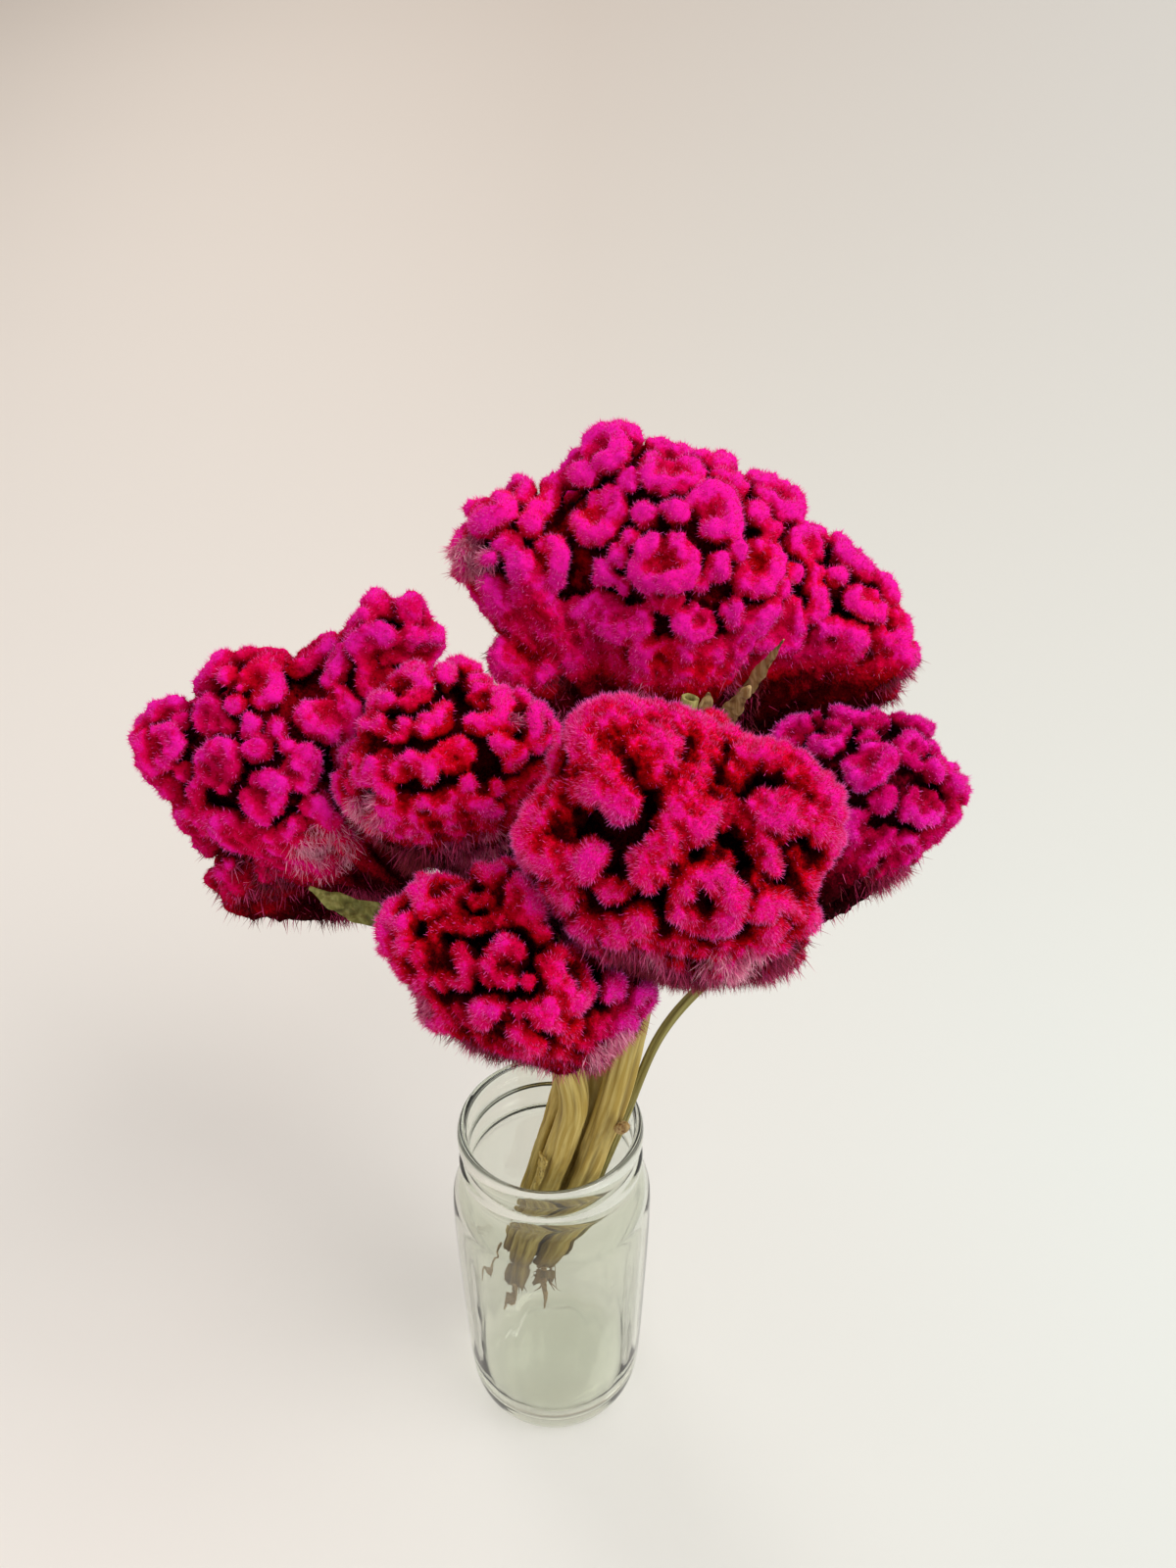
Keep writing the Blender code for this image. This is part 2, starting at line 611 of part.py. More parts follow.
def build_bud(paths, finish):
    """An egg-shaped bud that clears the front stem's right side."""
    centre = surface_point("stem_front", paths, BUD_ABOVE_MOUTH / MM, BUD_SIDE, BUD_RADIUS)
    up = unit(BUD_UP)
    rings = []
    for share in BUD_SHARES:
        at = centre + up * BUD_LENGTH * (share - 0.5)
        r = BUD_RADIUS * math.sin(math.pi * share) ** BUD_FULLNESS
        turns = [2 * math.pi * k / BUD_SIDES for k in range(BUD_SIDES)]
        rings.append([at + r * np.array([math.cos(a), math.sin(a), 0]) for a in turns])
    low = centre - up * BUD_LENGTH / 2
    high = centre + up * BUD_LENGTH / 2
    points, faces = skin(rings, low, high)
    add_object("side_bud", points, faces, finish)


def main():
    clear_scene()
    glass = material("jar_glass", GLASS_GREEN, GLASS_ROUGHNESS, 1.0)
    straw = material("dry_stem", STRAW)
    olive = material("olive_stem", OLIVE)
    tan = material("dry_leaf", TAN)
    brown = material("brown_bark", BROWN)
    magenta = material("crest_magenta", MAGENTA)
    purple = material("crest_purple", PURPLE)
    build_jar(glass)
    bundle = Bundle()
    obstacle = Obstacle()
    paths = {}
    for name in STEMS:
        finish = olive if name == "stem_right" else straw
        paths[name] = build_stem(bundle, name, finish)
        obstacle.rods.append((name, paths[name], STEMS[name][2]))
    for name in LEAVES:
        path = build_leaf(name, paths, olive if name == "leaf_under_left" else tan)
        obstacle.rods.append((name, path, LEAVES[name][4] * MM))
    for name in STRIPS:
        build_strip(name, paths, brown)
    obstacle.rods.append(("cut_stub", build_stub(paths, olive), STUB_RADIUS))
    build_bud(paths, tan)
    for name in HEADS:
        stem = next(s for s, facts in STEMS.items() if facts[1] == name)
        finish = purple if name in ("head_left", "head_right") else magenta
        build_head(name, obstacle, stem, STEMS[stem][2], finish)


main()
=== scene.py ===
# %% [markdown]
# # Dried cockscomb in a glass jar
# A bunch of six dried cockscomb heads stands in a plain glass jar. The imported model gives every
# piece its real size and place. This lesson dresses each piece: velvet crests with real pile,
# grooved stems, papery leaves and a pressed glass jar.

# %% Load the fixed frame
import math

import bmesh
import bpy
import numpy as np
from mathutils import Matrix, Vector
from mathutils.bvhtree import BVHTree


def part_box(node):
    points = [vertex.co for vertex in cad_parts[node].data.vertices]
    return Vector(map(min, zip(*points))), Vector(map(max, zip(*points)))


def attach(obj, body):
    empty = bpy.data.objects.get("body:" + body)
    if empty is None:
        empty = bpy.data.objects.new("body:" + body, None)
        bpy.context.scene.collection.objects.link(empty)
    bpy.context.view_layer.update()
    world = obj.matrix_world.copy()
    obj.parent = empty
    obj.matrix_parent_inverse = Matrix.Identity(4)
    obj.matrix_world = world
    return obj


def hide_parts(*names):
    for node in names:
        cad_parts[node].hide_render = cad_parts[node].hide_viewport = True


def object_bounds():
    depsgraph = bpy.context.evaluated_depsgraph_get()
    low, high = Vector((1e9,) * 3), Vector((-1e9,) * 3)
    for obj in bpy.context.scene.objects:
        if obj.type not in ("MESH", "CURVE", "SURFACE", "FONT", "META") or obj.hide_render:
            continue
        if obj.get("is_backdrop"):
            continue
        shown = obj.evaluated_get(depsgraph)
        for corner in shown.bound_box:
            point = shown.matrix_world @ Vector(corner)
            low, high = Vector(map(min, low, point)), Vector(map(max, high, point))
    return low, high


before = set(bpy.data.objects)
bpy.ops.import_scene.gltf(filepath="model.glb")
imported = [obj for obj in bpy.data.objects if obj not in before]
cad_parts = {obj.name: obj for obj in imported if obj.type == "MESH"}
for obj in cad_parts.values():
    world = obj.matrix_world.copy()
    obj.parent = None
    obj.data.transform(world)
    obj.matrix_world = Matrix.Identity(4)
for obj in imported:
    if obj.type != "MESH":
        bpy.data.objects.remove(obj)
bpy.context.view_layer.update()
MM = 0.001

# %% [markdown]
# ## Camera, floor and light
# A still life of flowers is usually lit by one big soft window. A wide area light on the right
# plays the window, a fainter one behind gives the pile its bright rim, and a pale sweep of paper
# serves as table and wall in one. The camera looks down at the bunch from a standing height.

# %% Camera
CAMERA_PLACE = (0.0128, -0.2845, 0.4374)
CAMERA_PITCH = math.radians(31)
SENSOR = 36
LENS = 27.05

lens = bpy.data.cameras.new("camera")
lens.sensor_width = SENSOR
lens.lens = LENS
lens.clip_start = 0.01
camera = bpy.data.objects.new("camera", lens)
camera.location = CAMERA_PLACE
camera.rotation_euler = (math.pi / 2 - CAMERA_PITCH, 0, 0)
bpy.context.scene.collection.objects.link(camera)
bpy.context.scene.camera = camera
bpy.context.scene.view_settings.view_transform = "Standard"
print("camera above the table in mm:", round(CAMERA_PLACE[2] / MM))

# %% [markdown]
# ## Materials from nodes
# Every finish in this lesson is built from nodes: noise, ramps and mixes that feed one Principled
# shader. A painted texture could look alike, but nodes stay sharp at any distance and can be
# changed with a number. A few small helpers keep the code as short as a recipe.

# %% Helpers for node materials
def new_material(name):
    """A material with nodes: gives it back with its node tree and its Principled shader."""
    material = bpy.data.materials.new(name)
    material.use_nodes = True
    tree = material.node_tree
    return material, tree, tree.nodes["Principled BSDF"]


def add_node(tree, kind, inputs=None, **settings):
    """Adds a node. An input is a number, a colour, or the output socket that feeds it."""
    node = tree.nodes.new(kind)
    for key, value in settings.items():
        setattr(node, key, value)
    for key, value in (inputs or {}).items():
        if isinstance(value, bpy.types.NodeSocket):
            tree.links.new(value, node.inputs[key])
        else:
            node.inputs[key].default_value = value
    return node


def mix_colour(tree, share, first, second):
    """The first colour where the share is 0, the second where it is 1."""
    first, second = (
        colour if isinstance(colour, bpy.types.NodeSocket) else (*colour, 1)
        for colour in (first, second)
    )
    inputs = {0: share, 6: first, 7: second}
    return add_node(tree, "ShaderNodeMix", inputs, data_type="RGBA").outputs[2]


def share_between(tree, value, first, last):
    """A share that grows from 0 to 1 while the value goes from first to last."""
    return add_node(tree, "ShaderNodeMapRange", {0: value, 1: first, 2: last}).outputs[0]


print("node helpers ready")

# %% The paper sweep
SWEEP_HALF_WIDTH = 2.2
SWEEP_FRONT = -1.6
SWEEP_BACK = 0.35
SWEEP_RADIUS = 1.5
SWEEP_TOP = 2.4
BEND_DEGREES = range(0, 91, 6)


def paper_sweep():
    """A sheet that lies as the table and turns up into the wall in one round bend."""
    bend = [math.radians(a) for a in BEND_DEGREES]
    profile = [(SWEEP_FRONT, 0.0)]
    profile += [
        (SWEEP_BACK + SWEEP_RADIUS * math.sin(a), SWEEP_RADIUS * (1 - math.cos(a))) for a in bend
    ]
    profile.append((SWEEP_BACK + SWEEP_RADIUS, SWEEP_TOP))
    verts = [(x, y, z) for y, z in profile for x in (-SWEEP_HALF_WIDTH, SWEEP_HALF_WIDTH)]
    faces = [(2 * i, 2 * i + 1, 2 * i + 3, 2 * i + 2) for i in range(len(profile) - 1)]
    mesh = bpy.data.meshes.new("paper_sweep")
    mesh.from_pydata(verts, [], faces)
    mesh.shade_smooth()
    return bpy.data.objects.new("paper_sweep", mesh)


sweep = paper_sweep()
bpy.context.scene.collection.objects.link(sweep)
sweep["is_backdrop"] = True
print("paper sweep faces:", len(sweep.data.polygons))

# %% Paper colour, with painted shade
# The paper darkens towards the far wall, most on the left, and changes tint from left to right:
# painted shade of uneven light across the sweep.
PAPER_NEAR_LEFT = (0.83, 0.79, 0.745)
PAPER_NEAR_RIGHT = (0.75, 0.775, 0.74)
PAPER_FAR_LEFT = (0.66, 0.585, 0.52)
PAPER_FAR_RIGHT = (0.80, 0.78, 0.74)

paper, tree, shader = new_material("paper")
shader.inputs["Roughness"].default_value = 0.9
shader.inputs["Specular IOR Level"].default_value = 0.15
place = add_node(tree, "ShaderNodeNewGeometry").outputs["Position"]
place = add_node(tree, "ShaderNodeSeparateXYZ", {0: place})
far = share_between(tree, place.outputs["Y"], 0.1, 1.5)
near_right = share_between(tree, place.outputs["X"], -0.15, 0.25)
far_right = share_between(tree, place.outputs["X"], 0.0, 0.9)
near_colour = mix_colour(tree, near_right, PAPER_NEAR_LEFT, PAPER_NEAR_RIGHT)
far_colour = mix_colour(tree, far_right, PAPER_FAR_LEFT, PAPER_FAR_RIGHT)
tree.links.new(mix_colour(tree, far, near_colour, far_colour), shader.inputs["Base Color"])
sweep.data.materials.append(paper)
print("paper nodes:", len(tree.nodes))

# %% Lights
BUNCH_MIDDLE = (0, 0, 0.2)
WARM_WHITE = (1.0, 0.985, 0.965)
ROOM_STRENGTH = 0.58


def area_light(name, place, size, power, colour):
    """A square soft light that is aimed at the middle of the bunch."""
    light = bpy.data.lights.new(name, "AREA")
    light.size = size
    light.energy = power
    light.color = colour
    lamp = bpy.data.objects.new(name, light)
    lamp.location = place
    lamp.rotation_euler = (Vector(BUNCH_MIDDLE) - Vector(place)).to_track_quat("-Z", "Y").to_euler()
    bpy.context.scene.collection.objects.link(lamp)


area_light("window", place=(1.0, -0.5, 1.5), size=1.1, power=19, colour=WARM_WHITE)
area_light("back", place=(-0.6, 1.0, 1.2), size=0.8, power=6, colour=(1, 1, 1))
world = bpy.data.worlds.new("studio")
bpy.context.scene.world = world
world.use_nodes = True
background = world.node_tree.nodes["Background"]
background.inputs["Color"].default_value = (*WARM_WHITE, 1)
background.inputs["Strength"].default_value = ROOM_STRENGTH

# %% [markdown]
# ## Reading the soft solids
# Each packed head is a plain closed dome. It is used as a guide: a search tree over its faces
# answers where the nearest spot of the dome is, and a grid of such answers says how deep every
# spot of the head lies under its outside. Asking the tree is slow, so it is asked on a wide grid
# only, and the places in between are filled with straight lines.

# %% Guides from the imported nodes
def guide_of(node):
    """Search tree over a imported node's faces."""
    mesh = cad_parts[node].data
    return BVHTree.FromPolygons(
        [v.co for v in mesh.vertices], [tuple(p.vertices) for p in mesh.polygons]
    )


def corners_of(node):
    """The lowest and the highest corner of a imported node's box."""
    low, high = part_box(node)
    return np.array(low), np.array(high)


def depth_under(guide, points):
    """How far each point lies under the guide's skin: above zero inside, below zero outside."""
    depths = np.empty(len(points))
    for i, point in enumerate(points):
        near, normal, _, distance = guide.find_nearest(Vector(point))
        outside = (Vector(point) - near).dot(normal) > 0
        depths[i] = -distance if outside else distance
    return depths


def finer(values, axis, times):
    """Straight-line fill between the values along one axis, times as many steps."""
    count = (values.shape[axis] - 1) * times + 1
    place = np.arange(count) / times
    first = np.minimum(place.astype(int), values.shape[axis] - 2)
    shape = [1, 1, 1]
    shape[axis] = count
    share = (place - first).reshape(shape)
    return np.take(values, first, axis) * (1 - share) + np.take(values, first + 1, axis) * share


for node in sorted(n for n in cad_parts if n.startswith("head_")):
    low, high = corners_of(node)
    print(node, "size in mm:", ((high - low) / MM).round(1))

# %% [markdown]
# ## From a field of distances to a skin
# The crest is one convoluted body with overhanging rolls, which no height map can hold. So it is
# carved in a block of small cubes: every cube knows how far it is from the nearest roll. The skin
# goes where that distance is zero, with one point in each cube that the skin passes through and
# one four-sided face for each cube edge that it cuts. Metaballs or a remesh modifier would do
# something similar, but a block of numbers can also be asked how open or how deep a spot is.

# %% A point in each cut cube
CORNERS = [(i, j, k) for i in (0, 1) for j in (0, 1) for k in (0, 1)]
EDGES = [(a, b) for a in CORNERS for b in CORNERS if a < b and np.abs(np.subtract(b, a)).sum() == 1]


def skin_points(field, mixed):
    """One point in each mixed cube: the middle of the places where its edges are cut."""
    total = np.zeros((len(mixed), 3))
    crossings = np.zeros(len(mixed))
    for a, b in EDGES:
        at_a = field[tuple((mixed + a).T)]
        at_b = field[tuple((mixed + b).T)]
        cut = (at_a < 0) != (at_b < 0)
        share = np.where(cut, at_a / np.where(cut, at_a - at_b, 1), 0)
        total += np.where(cut[:, None], np.array(a) + share[:, None] * np.subtract(b, a), 0)
        crossings += cut
    return mixed + total / crossings[:, None]


print("edges of a cube:", len(EDGES))

# %% Skinning a block of distances
ROUND_AN_EDGE = ((-1, -1), (0, -1), (0, 0), (-1, 0))


def skin(field, low, step):
    """Points and four-sided faces of the surface where the field crosses zero; below is inside."""
    solid = field < 0
    cells = tuple(n - 1 for n in field.shape)
    count = np.zeros(cells, np.int8)
    for i, j, k in CORNERS:
        count += solid[i:i + cells[0], j:j + cells[1], k:k + cells[2]]
    mixed = np.argwhere((count > 0) & (count < len(CORNERS)))
    number = np.full(cells, -1, np.int64)
    number[tuple(mixed.T)] = np.arange(len(mixed))
    points = low + step * skin_points(field, mixed)
    faces = []
    for axis in range(3):
        across, other = (axis + 1) % 3, (axis + 2) % 3
        begin = [slice(1, -1)] * 3
        begin[axis] = slice(0, -1)
        end = list(begin)
        end[axis] = slice(1, None)
        here, there = solid[tuple(begin)], solid[tuple(end)]
        for flip in (False, True):
            found = np.argwhere(here & ~there if flip else there & ~here)
            found += [0 if a == axis else 1 for a in range(3)]
            ring = []
            for du, dv in ROUND_AN_EDGE:
                cell = found.copy()
                cell[:, across] += du
                cell[:, other] += dv
                ring.append(number[tuple(cell.T)])
            faces.append(np.stack(ring if flip else ring[::-1], 1))
    return points, np.concatenate(faces)


spots = np.stack(np.meshgrid(*[np.arange(-7.0, 8.0)] * 3, indexing="ij"), -1)
ball, _ = skin(np.linalg.norm(spots, axis=-1) - 5, np.full(3, -7.0), 1.0)
print("a test ball of radius 5 comes out as:", np.linalg.norm(ball, axis=1).mean().round(2))


# %% Leaving one closed body
def only_joined(field, seed):
    """Drops every solid speck that isn't joined to the seed, so that one closed body is left."""
    solid = field < 0
    reached = seed & solid
    size = 0
    while size != np.count_nonzero(reached):
        size = np.count_nonzero(reached)
        for axis in range(3):
            for _ in range(2):
                moved = reached.copy()
                first, last = [slice(None)] * 3, [slice(None)] * 3
                first[axis], last[axis] = slice(1, None), slice(None, -1)
                moved[tuple(first)] |= reached[tuple(last)]
                moved[tuple(last)] |= reached[tuple(first)]
                reached = moved & solid
    return np.where(solid & ~reached, 1.0, field)


row = np.array([-1.0, -1.0, 1.0, -1.0, 1.0]).reshape(5, 1, 1)
print("solid cubes in a test row before and after:", (row < 0).sum(),
      (only_joined(row, np.arange(5).reshape(5, 1, 1) == 0) < 0).sum())


# %% Smoothing and reading a block
def box_blur(values, reach):
    """Mean over a cube of neighbours, reach steps to each side, one axis after another."""
    width = 2 * reach + 1
    for axis in range(3):
        padded = np.concatenate(
            [np.repeat(np.take(values, [0], axis), reach + 1, axis), values,
             np.repeat(np.take(values, [-1], axis), reach, axis)], axis
        )
        sums = np.cumsum(padded, axis)
        count = values.shape[axis]
        values = (
            np.take(sums, range(width, width + count), axis) - np.take(sums, range(count), axis)
        ) / width
    return values


def sample(values, low, step, points):
    """The block's value at each point, from the nearest grid corner."""
    cell = np.clip(np.rint((points - low) / step).astype(int), 0, np.array(values.shape) - 1)
    return values[tuple(cell.T)]


lone_cube = np.pad(np.full((1, 1, 1), 27.0), 1)
print("a lone cube of 27, blurred:", box_blur(lone_cube, 1)[1, 1, 1].round(2))

# %% [markdown]
# ## Normals, easing and ripples
# A skin made from cubes shows faint steps, so each point is drawn a little towards the middle of
# its neighbours. Organic roughness is then added with ripples: a sum of cosine waves that run in
# random directions. A sum like that is smooth, has no seams, and comes out the same each run.

# %% Normals, easing and ripples
def unit(vectors):
    """The same directions with a length of one."""
    return vectors / np.maximum(np.linalg.norm(vectors, axis=-1, keepdims=True), 1e-12)


def normals_of(points, faces):
    """The normal at each point, and each face's own normal with twice the face's area as length."""
    one, two, three, four = (points[faces[:, i]] for i in range(4))
    flat = np.cross(three - one, four - two)
    total = np.zeros_like(points)
    for i in range(4):
        np.add.at(total, faces[:, i], flat)
    return unit(total), flat


def eased(points, faces, share, rounds):
    """Moves each point towards the middle of its neighbours, to take out the cubes' steps."""
    pairs = np.concatenate([faces[:, [i, (i + 1) % 4]] for i in range(4)])
    count = np.bincount(pairs[:, 0], minlength=len(points))[:, None]
    for _ in range(rounds):
        total = np.zeros_like(points)
        np.add.at(total, pairs[:, 0], points[pairs[:, 1]])
        points = points + share * (total / np.maximum(count, 1) - points)
    return points


def ripple(points, length, seed, waves=14):
    """Smooth random ripples about zero, length from crest to crest, the same each run."""
    rng = np.random.default_rng(seed)
    ways = rng.normal(size=(waves, 3))
    ways *= 2 * math.pi / length / np.linalg.norm(ways, axis=1, keepdims=True)
    phases = rng.uniform(0, 2 * math.pi, waves)
    return sum(np.cos(points @ way + phase) for way, phase in zip(ways, phases)) / math.sqrt(waves)


print("ripple spread on the test ball:", ripple(ball, 3.0, 1).std().round(2))


# %% [markdown]
# ## Pieces and the numbers on them
# Each dressed piece rides on the one body, and most hide the imported node that they replace.
# Numbers such as tone can be stored for every point of the mesh, and the material reads them by
# name. Vertex groups could hold such numbers too, but an attribute can be a vector.

# %% Making a piece
def add_mesh(name, points, faces, material, node_names=()):
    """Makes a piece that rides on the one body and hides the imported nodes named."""
    mesh = bpy.data.meshes.new(name)
    mesh.from_pydata(points.tolist(), [], faces if isinstance(faces, list) else faces.tolist())
    mesh.shade_smooth()
    mesh.materials.append(material)
    piece = bpy.data.objects.new(name, mesh)
    bpy.context.scene.collection.objects.link(piece)
    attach(piece, "root")
    if node_names:
        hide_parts(*node_names)
    return piece


def set_attribute(piece, name, values):
    """A number, or a vector, for each point of a piece, that its material can read."""
    values = np.asarray(values, np.float32)
    if values.ndim == 1:
        attribute = piece.data.attributes.new(name, "FLOAT", "POINT")
        attribute.data.foreach_set("value", values)
    else:
        attribute = piece.data.attributes.new(name, "FLOAT_VECTOR", "POINT")
        attribute.data.foreach_set("vector", values.ravel())


print("packed nodes to dress:", len(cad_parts))

# %% [markdown]
# ## Crest lines
# A cockscomb is one flower stem that has grown sideways into a fan. The fan's edge grows faster
# than the fan, so it folds into tight bends, as a river does. Hydrologists draw such bends with
# one formula: the heading swings as a sine of the distance walked. Lines that walk over the dome
# in that way, and stop where they meet an older line, give the folds of a crest.

# %% Standing on a guide
def settle(guide, point):
    """The nearest spot of the guide and the way out of it."""
    near, normal, _, _ = guide.find_nearest(Vector(point))
    return np.array(near), np.array(normal)


def gap_to(points, point):
    """The distance from a point to the nearest of some others; a metre if there are none."""
    return np.min(np.linalg.norm(np.array(points) - point, axis=1)) if len(points) else 1.0


def spread_points(guide, low, high, spacing, rng, tries):
    """Points on the guide, no two nearer than the spacing."""
    kept = []
    for point in rng.uniform(low - 4 * MM, high + 4 * MM, (tries, 3)):
        near, _ = settle(guide, point)
        if gap_to(kept, near) > spacing:
            kept.append(near)
    return kept


front_guide = guide_of("head_front")
trial = np.random.default_rng(1)
front_spots = spread_points(front_guide, *corners_of("head_front"), 20 * MM, trial, 200)
print("spots 20 mm apart on the front head:", len(front_spots))

# %% Winding lines
STEPS_PER_SPACING = 5
# A line may come this many spacings near to itself along its way before its own gap is tested.
NEAR_OWN = 1.9
OWN_GAP = 0.97


def crest_line(guide, start, taken, spacing, loop, swing, rng, limit):
    """A winding line over the guide, walked both ways from its start."""
    pace = spacing / STEPS_PER_SPACING
    skip = int(NEAR_OWN * STEPS_PER_SPACING)
    halves = []
    first_way = rng.normal(size=3)
    phase = rng.uniform(0, 2 * math.pi)
    for side in (1, -1):
        point, normal = settle(guide, start)
        axis = unit(np.cross(normal, first_way)) * side
        line = [point]
        for count in range(1, int(limit / pace)):
            walked = side * count * pace
            turn = side * swing * math.sin(2 * math.pi * walked / loop + phase)
            axis = unit(axis - normal * axis.dot(normal))
            way = axis * math.cos(turn) + np.cross(normal, axis) * math.sin(turn)
            point, normal = settle(guide, point + way * pace)
            own = line[:-skip]
            if side == -1:
                own = own + halves[0][max(0, skip - count):]
            if gap_to(taken, point) < spacing or gap_to(own, point) < spacing * OWN_GAP:
                break
            line.append(point)
        halves.append(line)
    return halves[1][::-1] + halves[0][1:]


one_line = crest_line(front_guide, front_spots[0], [], 9 * MM, 40 * MM, 1.5, trial, 100 * MM)
print("points in a first winding line:", len(one_line))

# %% Scallop fans
FAN_PACE = 1.3 * MM
FAN_WOBBLE = 0.14


def fan_line(guide, centre, size, rng):
    """A scallop-shell arc on the guide round a centre, open on one side."""
    near, normal = settle(guide, centre)
    first = unit(np.cross(normal, rng.normal(size=3)))
    other = np.cross(normal, first)
    span = math.radians(rng.uniform(200, 320))
    stretch = rng.uniform(0.75, 1.15)
    line = []
    for turn in np.linspace(-span / 2, span / 2, max(6, int(span * size / FAN_PACE))):
        wobble = size * (1 + FAN_WOBBLE * math.sin(3 * turn + 5 * stretch))
        place = near + first * math.cos(turn) * wobble * stretch + other * math.sin(turn) * wobble
        line.append(settle(guide, place)[0])
    return line


print("points in a first fan:", len(fan_line(front_guide, front_spots[0], 8 * MM, trial)))

# %% Filling a guide with fans and lines
# Each pass is its share of the full spacing and how many places it tries.
FAN_PASSES = ((1.0, 1500), (0.74, 2500))
LINE_PASSES = ((1.0, 1500), (0.84, 2500), (0.66, 3500))
FAN_SIZE = 0.90
FAN_ROOM = 0.80
LONGEST_LINE = 16


def crest_lines(guide, low, high, spacing, loop, swing, rng, taken, fan_share):
    """Fans and winding lines that fill the guide, then short ones in the gaps that are left."""
    taken = list(taken)
    lines = []
    fan_size = spacing * FAN_SIZE
    room = fan_size + spacing * FAN_ROOM
    for share, tries in FAN_PASSES:
        for start in spread_points(guide, low, high, spacing * 0.8, rng, tries):
            if rng.uniform() > fan_share or gap_to(taken, start) < room * share:
                continue
            line = fan_line(guide, start, fan_size * share * rng.uniform(0.8, 1.15), rng)
            lines.append((line, share, True))
            taken += line + [np.array(start)]
    for share, tries in LINE_PASSES:
        for start in spread_points(guide, low, high, spacing * 0.6, rng, tries):
            if gap_to(taken, start) < spacing * share:
                continue
            line = crest_line(guide, start, taken, spacing * share, loop * rng.uniform(0.8, 1.25),
                              swing * rng.uniform(0.8, 1.1), rng, spacing * LONGEST_LINE)
            lines.append((line, share, False))
            taken += line
    return lines


print("fan passes:", len(FAN_PASSES), "line passes:", len(LINE_PASSES))

# %% [markdown]
# ## Carving a head
# Each head gets a block of distances that starts as a plain core, a good way under the guide.
# Balls pressed into the block side by side along a crest line make a round roll. A roll waves in
# size, like the scalloped edge of a fan, and the deep gaps between rolls are left dark and open.
# A sculpted mesh could look as good, but this way the folds come out of a few sizes in a table.

# %% A head's block of distances
VOXEL = 0.9 * MM
GUIDE_STEP = 4
FIELD_MARGIN = 5 * MM
SKIRT = 18 * MM
# Towards its underside a head's core thins by this share, so that its stem shows.
CORE_THINNING = 0.72


class Head:
    """The block of distances of one head, and what was read from its guide."""

    def __init__(self, node, core):
        self.node = node
        self.guide = guide_of(node)
        self.low_box, self.high_box = corners_of(node)
        self.middle = (self.low_box + self.high_box) / 2
        coarse = VOXEL * GUIDE_STEP
        self.low = self.low_box - FIELD_MARGIN - (0, 0, SKIRT)
        counts = np.ceil((self.high_box + FIELD_MARGIN - self.low) / coarse).astype(int) + 1
        axes = [self.low[a] + coarse * np.arange(counts[a]) for a in range(3)]
        places = np.stack(np.meshgrid(*axes, indexing="ij"), -1).reshape(-1, 3)
        depth = depth_under(self.guide, places).reshape(counts)
        for axis in range(3):
            depth = finer(depth, axis, GUIDE_STEP)
        self.depth = depth
        heights = self.low[2] + VOXEL * np.arange(depth.shape[2])[None, None, :]
        low_share = (heights - self.low_box[2]) / (self.high_box[2] - self.low_box[2])
        under = np.clip((0.36 - low_share) / 0.2, 0, 1)
        self.core = core * (1 - CORE_THINNING * under)
        self.field = self.core - depth


# %% Pressing balls into a block
def stamp(head, centre, radius):
    """Presses one ball into a head's block of distances."""
    low = head.low
    reach = radius + 2.5 * VOXEL
    first = np.maximum(((centre - reach - low) / VOXEL).astype(int), 0)
    last = np.minimum(((centre + reach - low) / VOXEL).astype(int) + 2, head.field.shape)
    if np.any(last <= first):
        return
    axes = [(low[a] + VOXEL * np.arange(first[a], last[a]) - centre[a]) ** 2 for a in range(3)]
    distance = np.sqrt(axes[0][:, None, None] + axes[1][None, :, None] + axes[2][None, None, :])
    block = head.field[first[0]:last[0], first[1]:last[1], first[2]:last[2]]
    np.minimum(block, distance - radius, out=block)


print("a ball of 3.8 mm is", round(2 * 3.8 * MM / VOXEL), "cubes wide")

# %% Rolls and bowls
ROLL_LIFT = 0.9 * MM
# A second, smaller ball under each ball of a roll joins the roll to the core.
NECK_DEPTH = 1.15
NECK_SIZE = 0.68


def carve_roll(head, line, radius, sink, rng, scallop, scallop_length=7 * MM, bowed=0.0):
    """A round roll along a line of guide points, with a scalloped edge and bowed-in ends."""
    phase, drift = rng.uniform(0, 2 * math.pi, 2)
    walked = 0.0
    previous = None
    for index, point in enumerate(line):
        _, normal = settle(head.guide, point)
        if previous is not None:
            walked += np.linalg.norm(point - previous)
        previous = point
        wave = 1 + scallop * math.sin(2 * math.pi * walked / scallop_length + phase)
        ends = min(index, len(line) - 1 - index)
        size = radius * wave * (0.82 + 0.18 * min(1, ends / 3))
        lift = ROLL_LIFT * math.sin(2 * math.pi * walked / (4 * scallop_length) + drift)
        along = 2 * index / max(1, len(line) - 1) - 1
        top = point - normal * (sink + 0.4 * (size - radius) - lift + bowed * along**2)
        stamp(head, top, size)
        stamp(head, top - normal * NECK_DEPTH * size, NECK_SIZE * size)


def carve_bowl(head, line, radius, sink):
    """The shallow bowl inside a fan, a little lower than its rim."""
    centre = np.mean(line, axis=0)
    _, normal = settle(head.guide, centre)
    for point in line:
        for share in (0.0, 0.35, 0.62):
            place = centre + (point - centre) * share
            stamp(head, place - normal * (sink + 0.9 * radius), 0.95 * radius)


print("a roll's neck reaches down by", round(NECK_DEPTH + NECK_SIZE, 2), "of its radius")

# %% [markdown]
# ## The flared top of a stem
# A cockscomb stem flattens and spreads as it nears its crest, so the underside of a head is a
# ribbed funnel and not a flat lid. Curved ribs of growing balls run from the stem to spots on the
# underside of the guide, and they are carved in the same block, so head and funnel are one body.

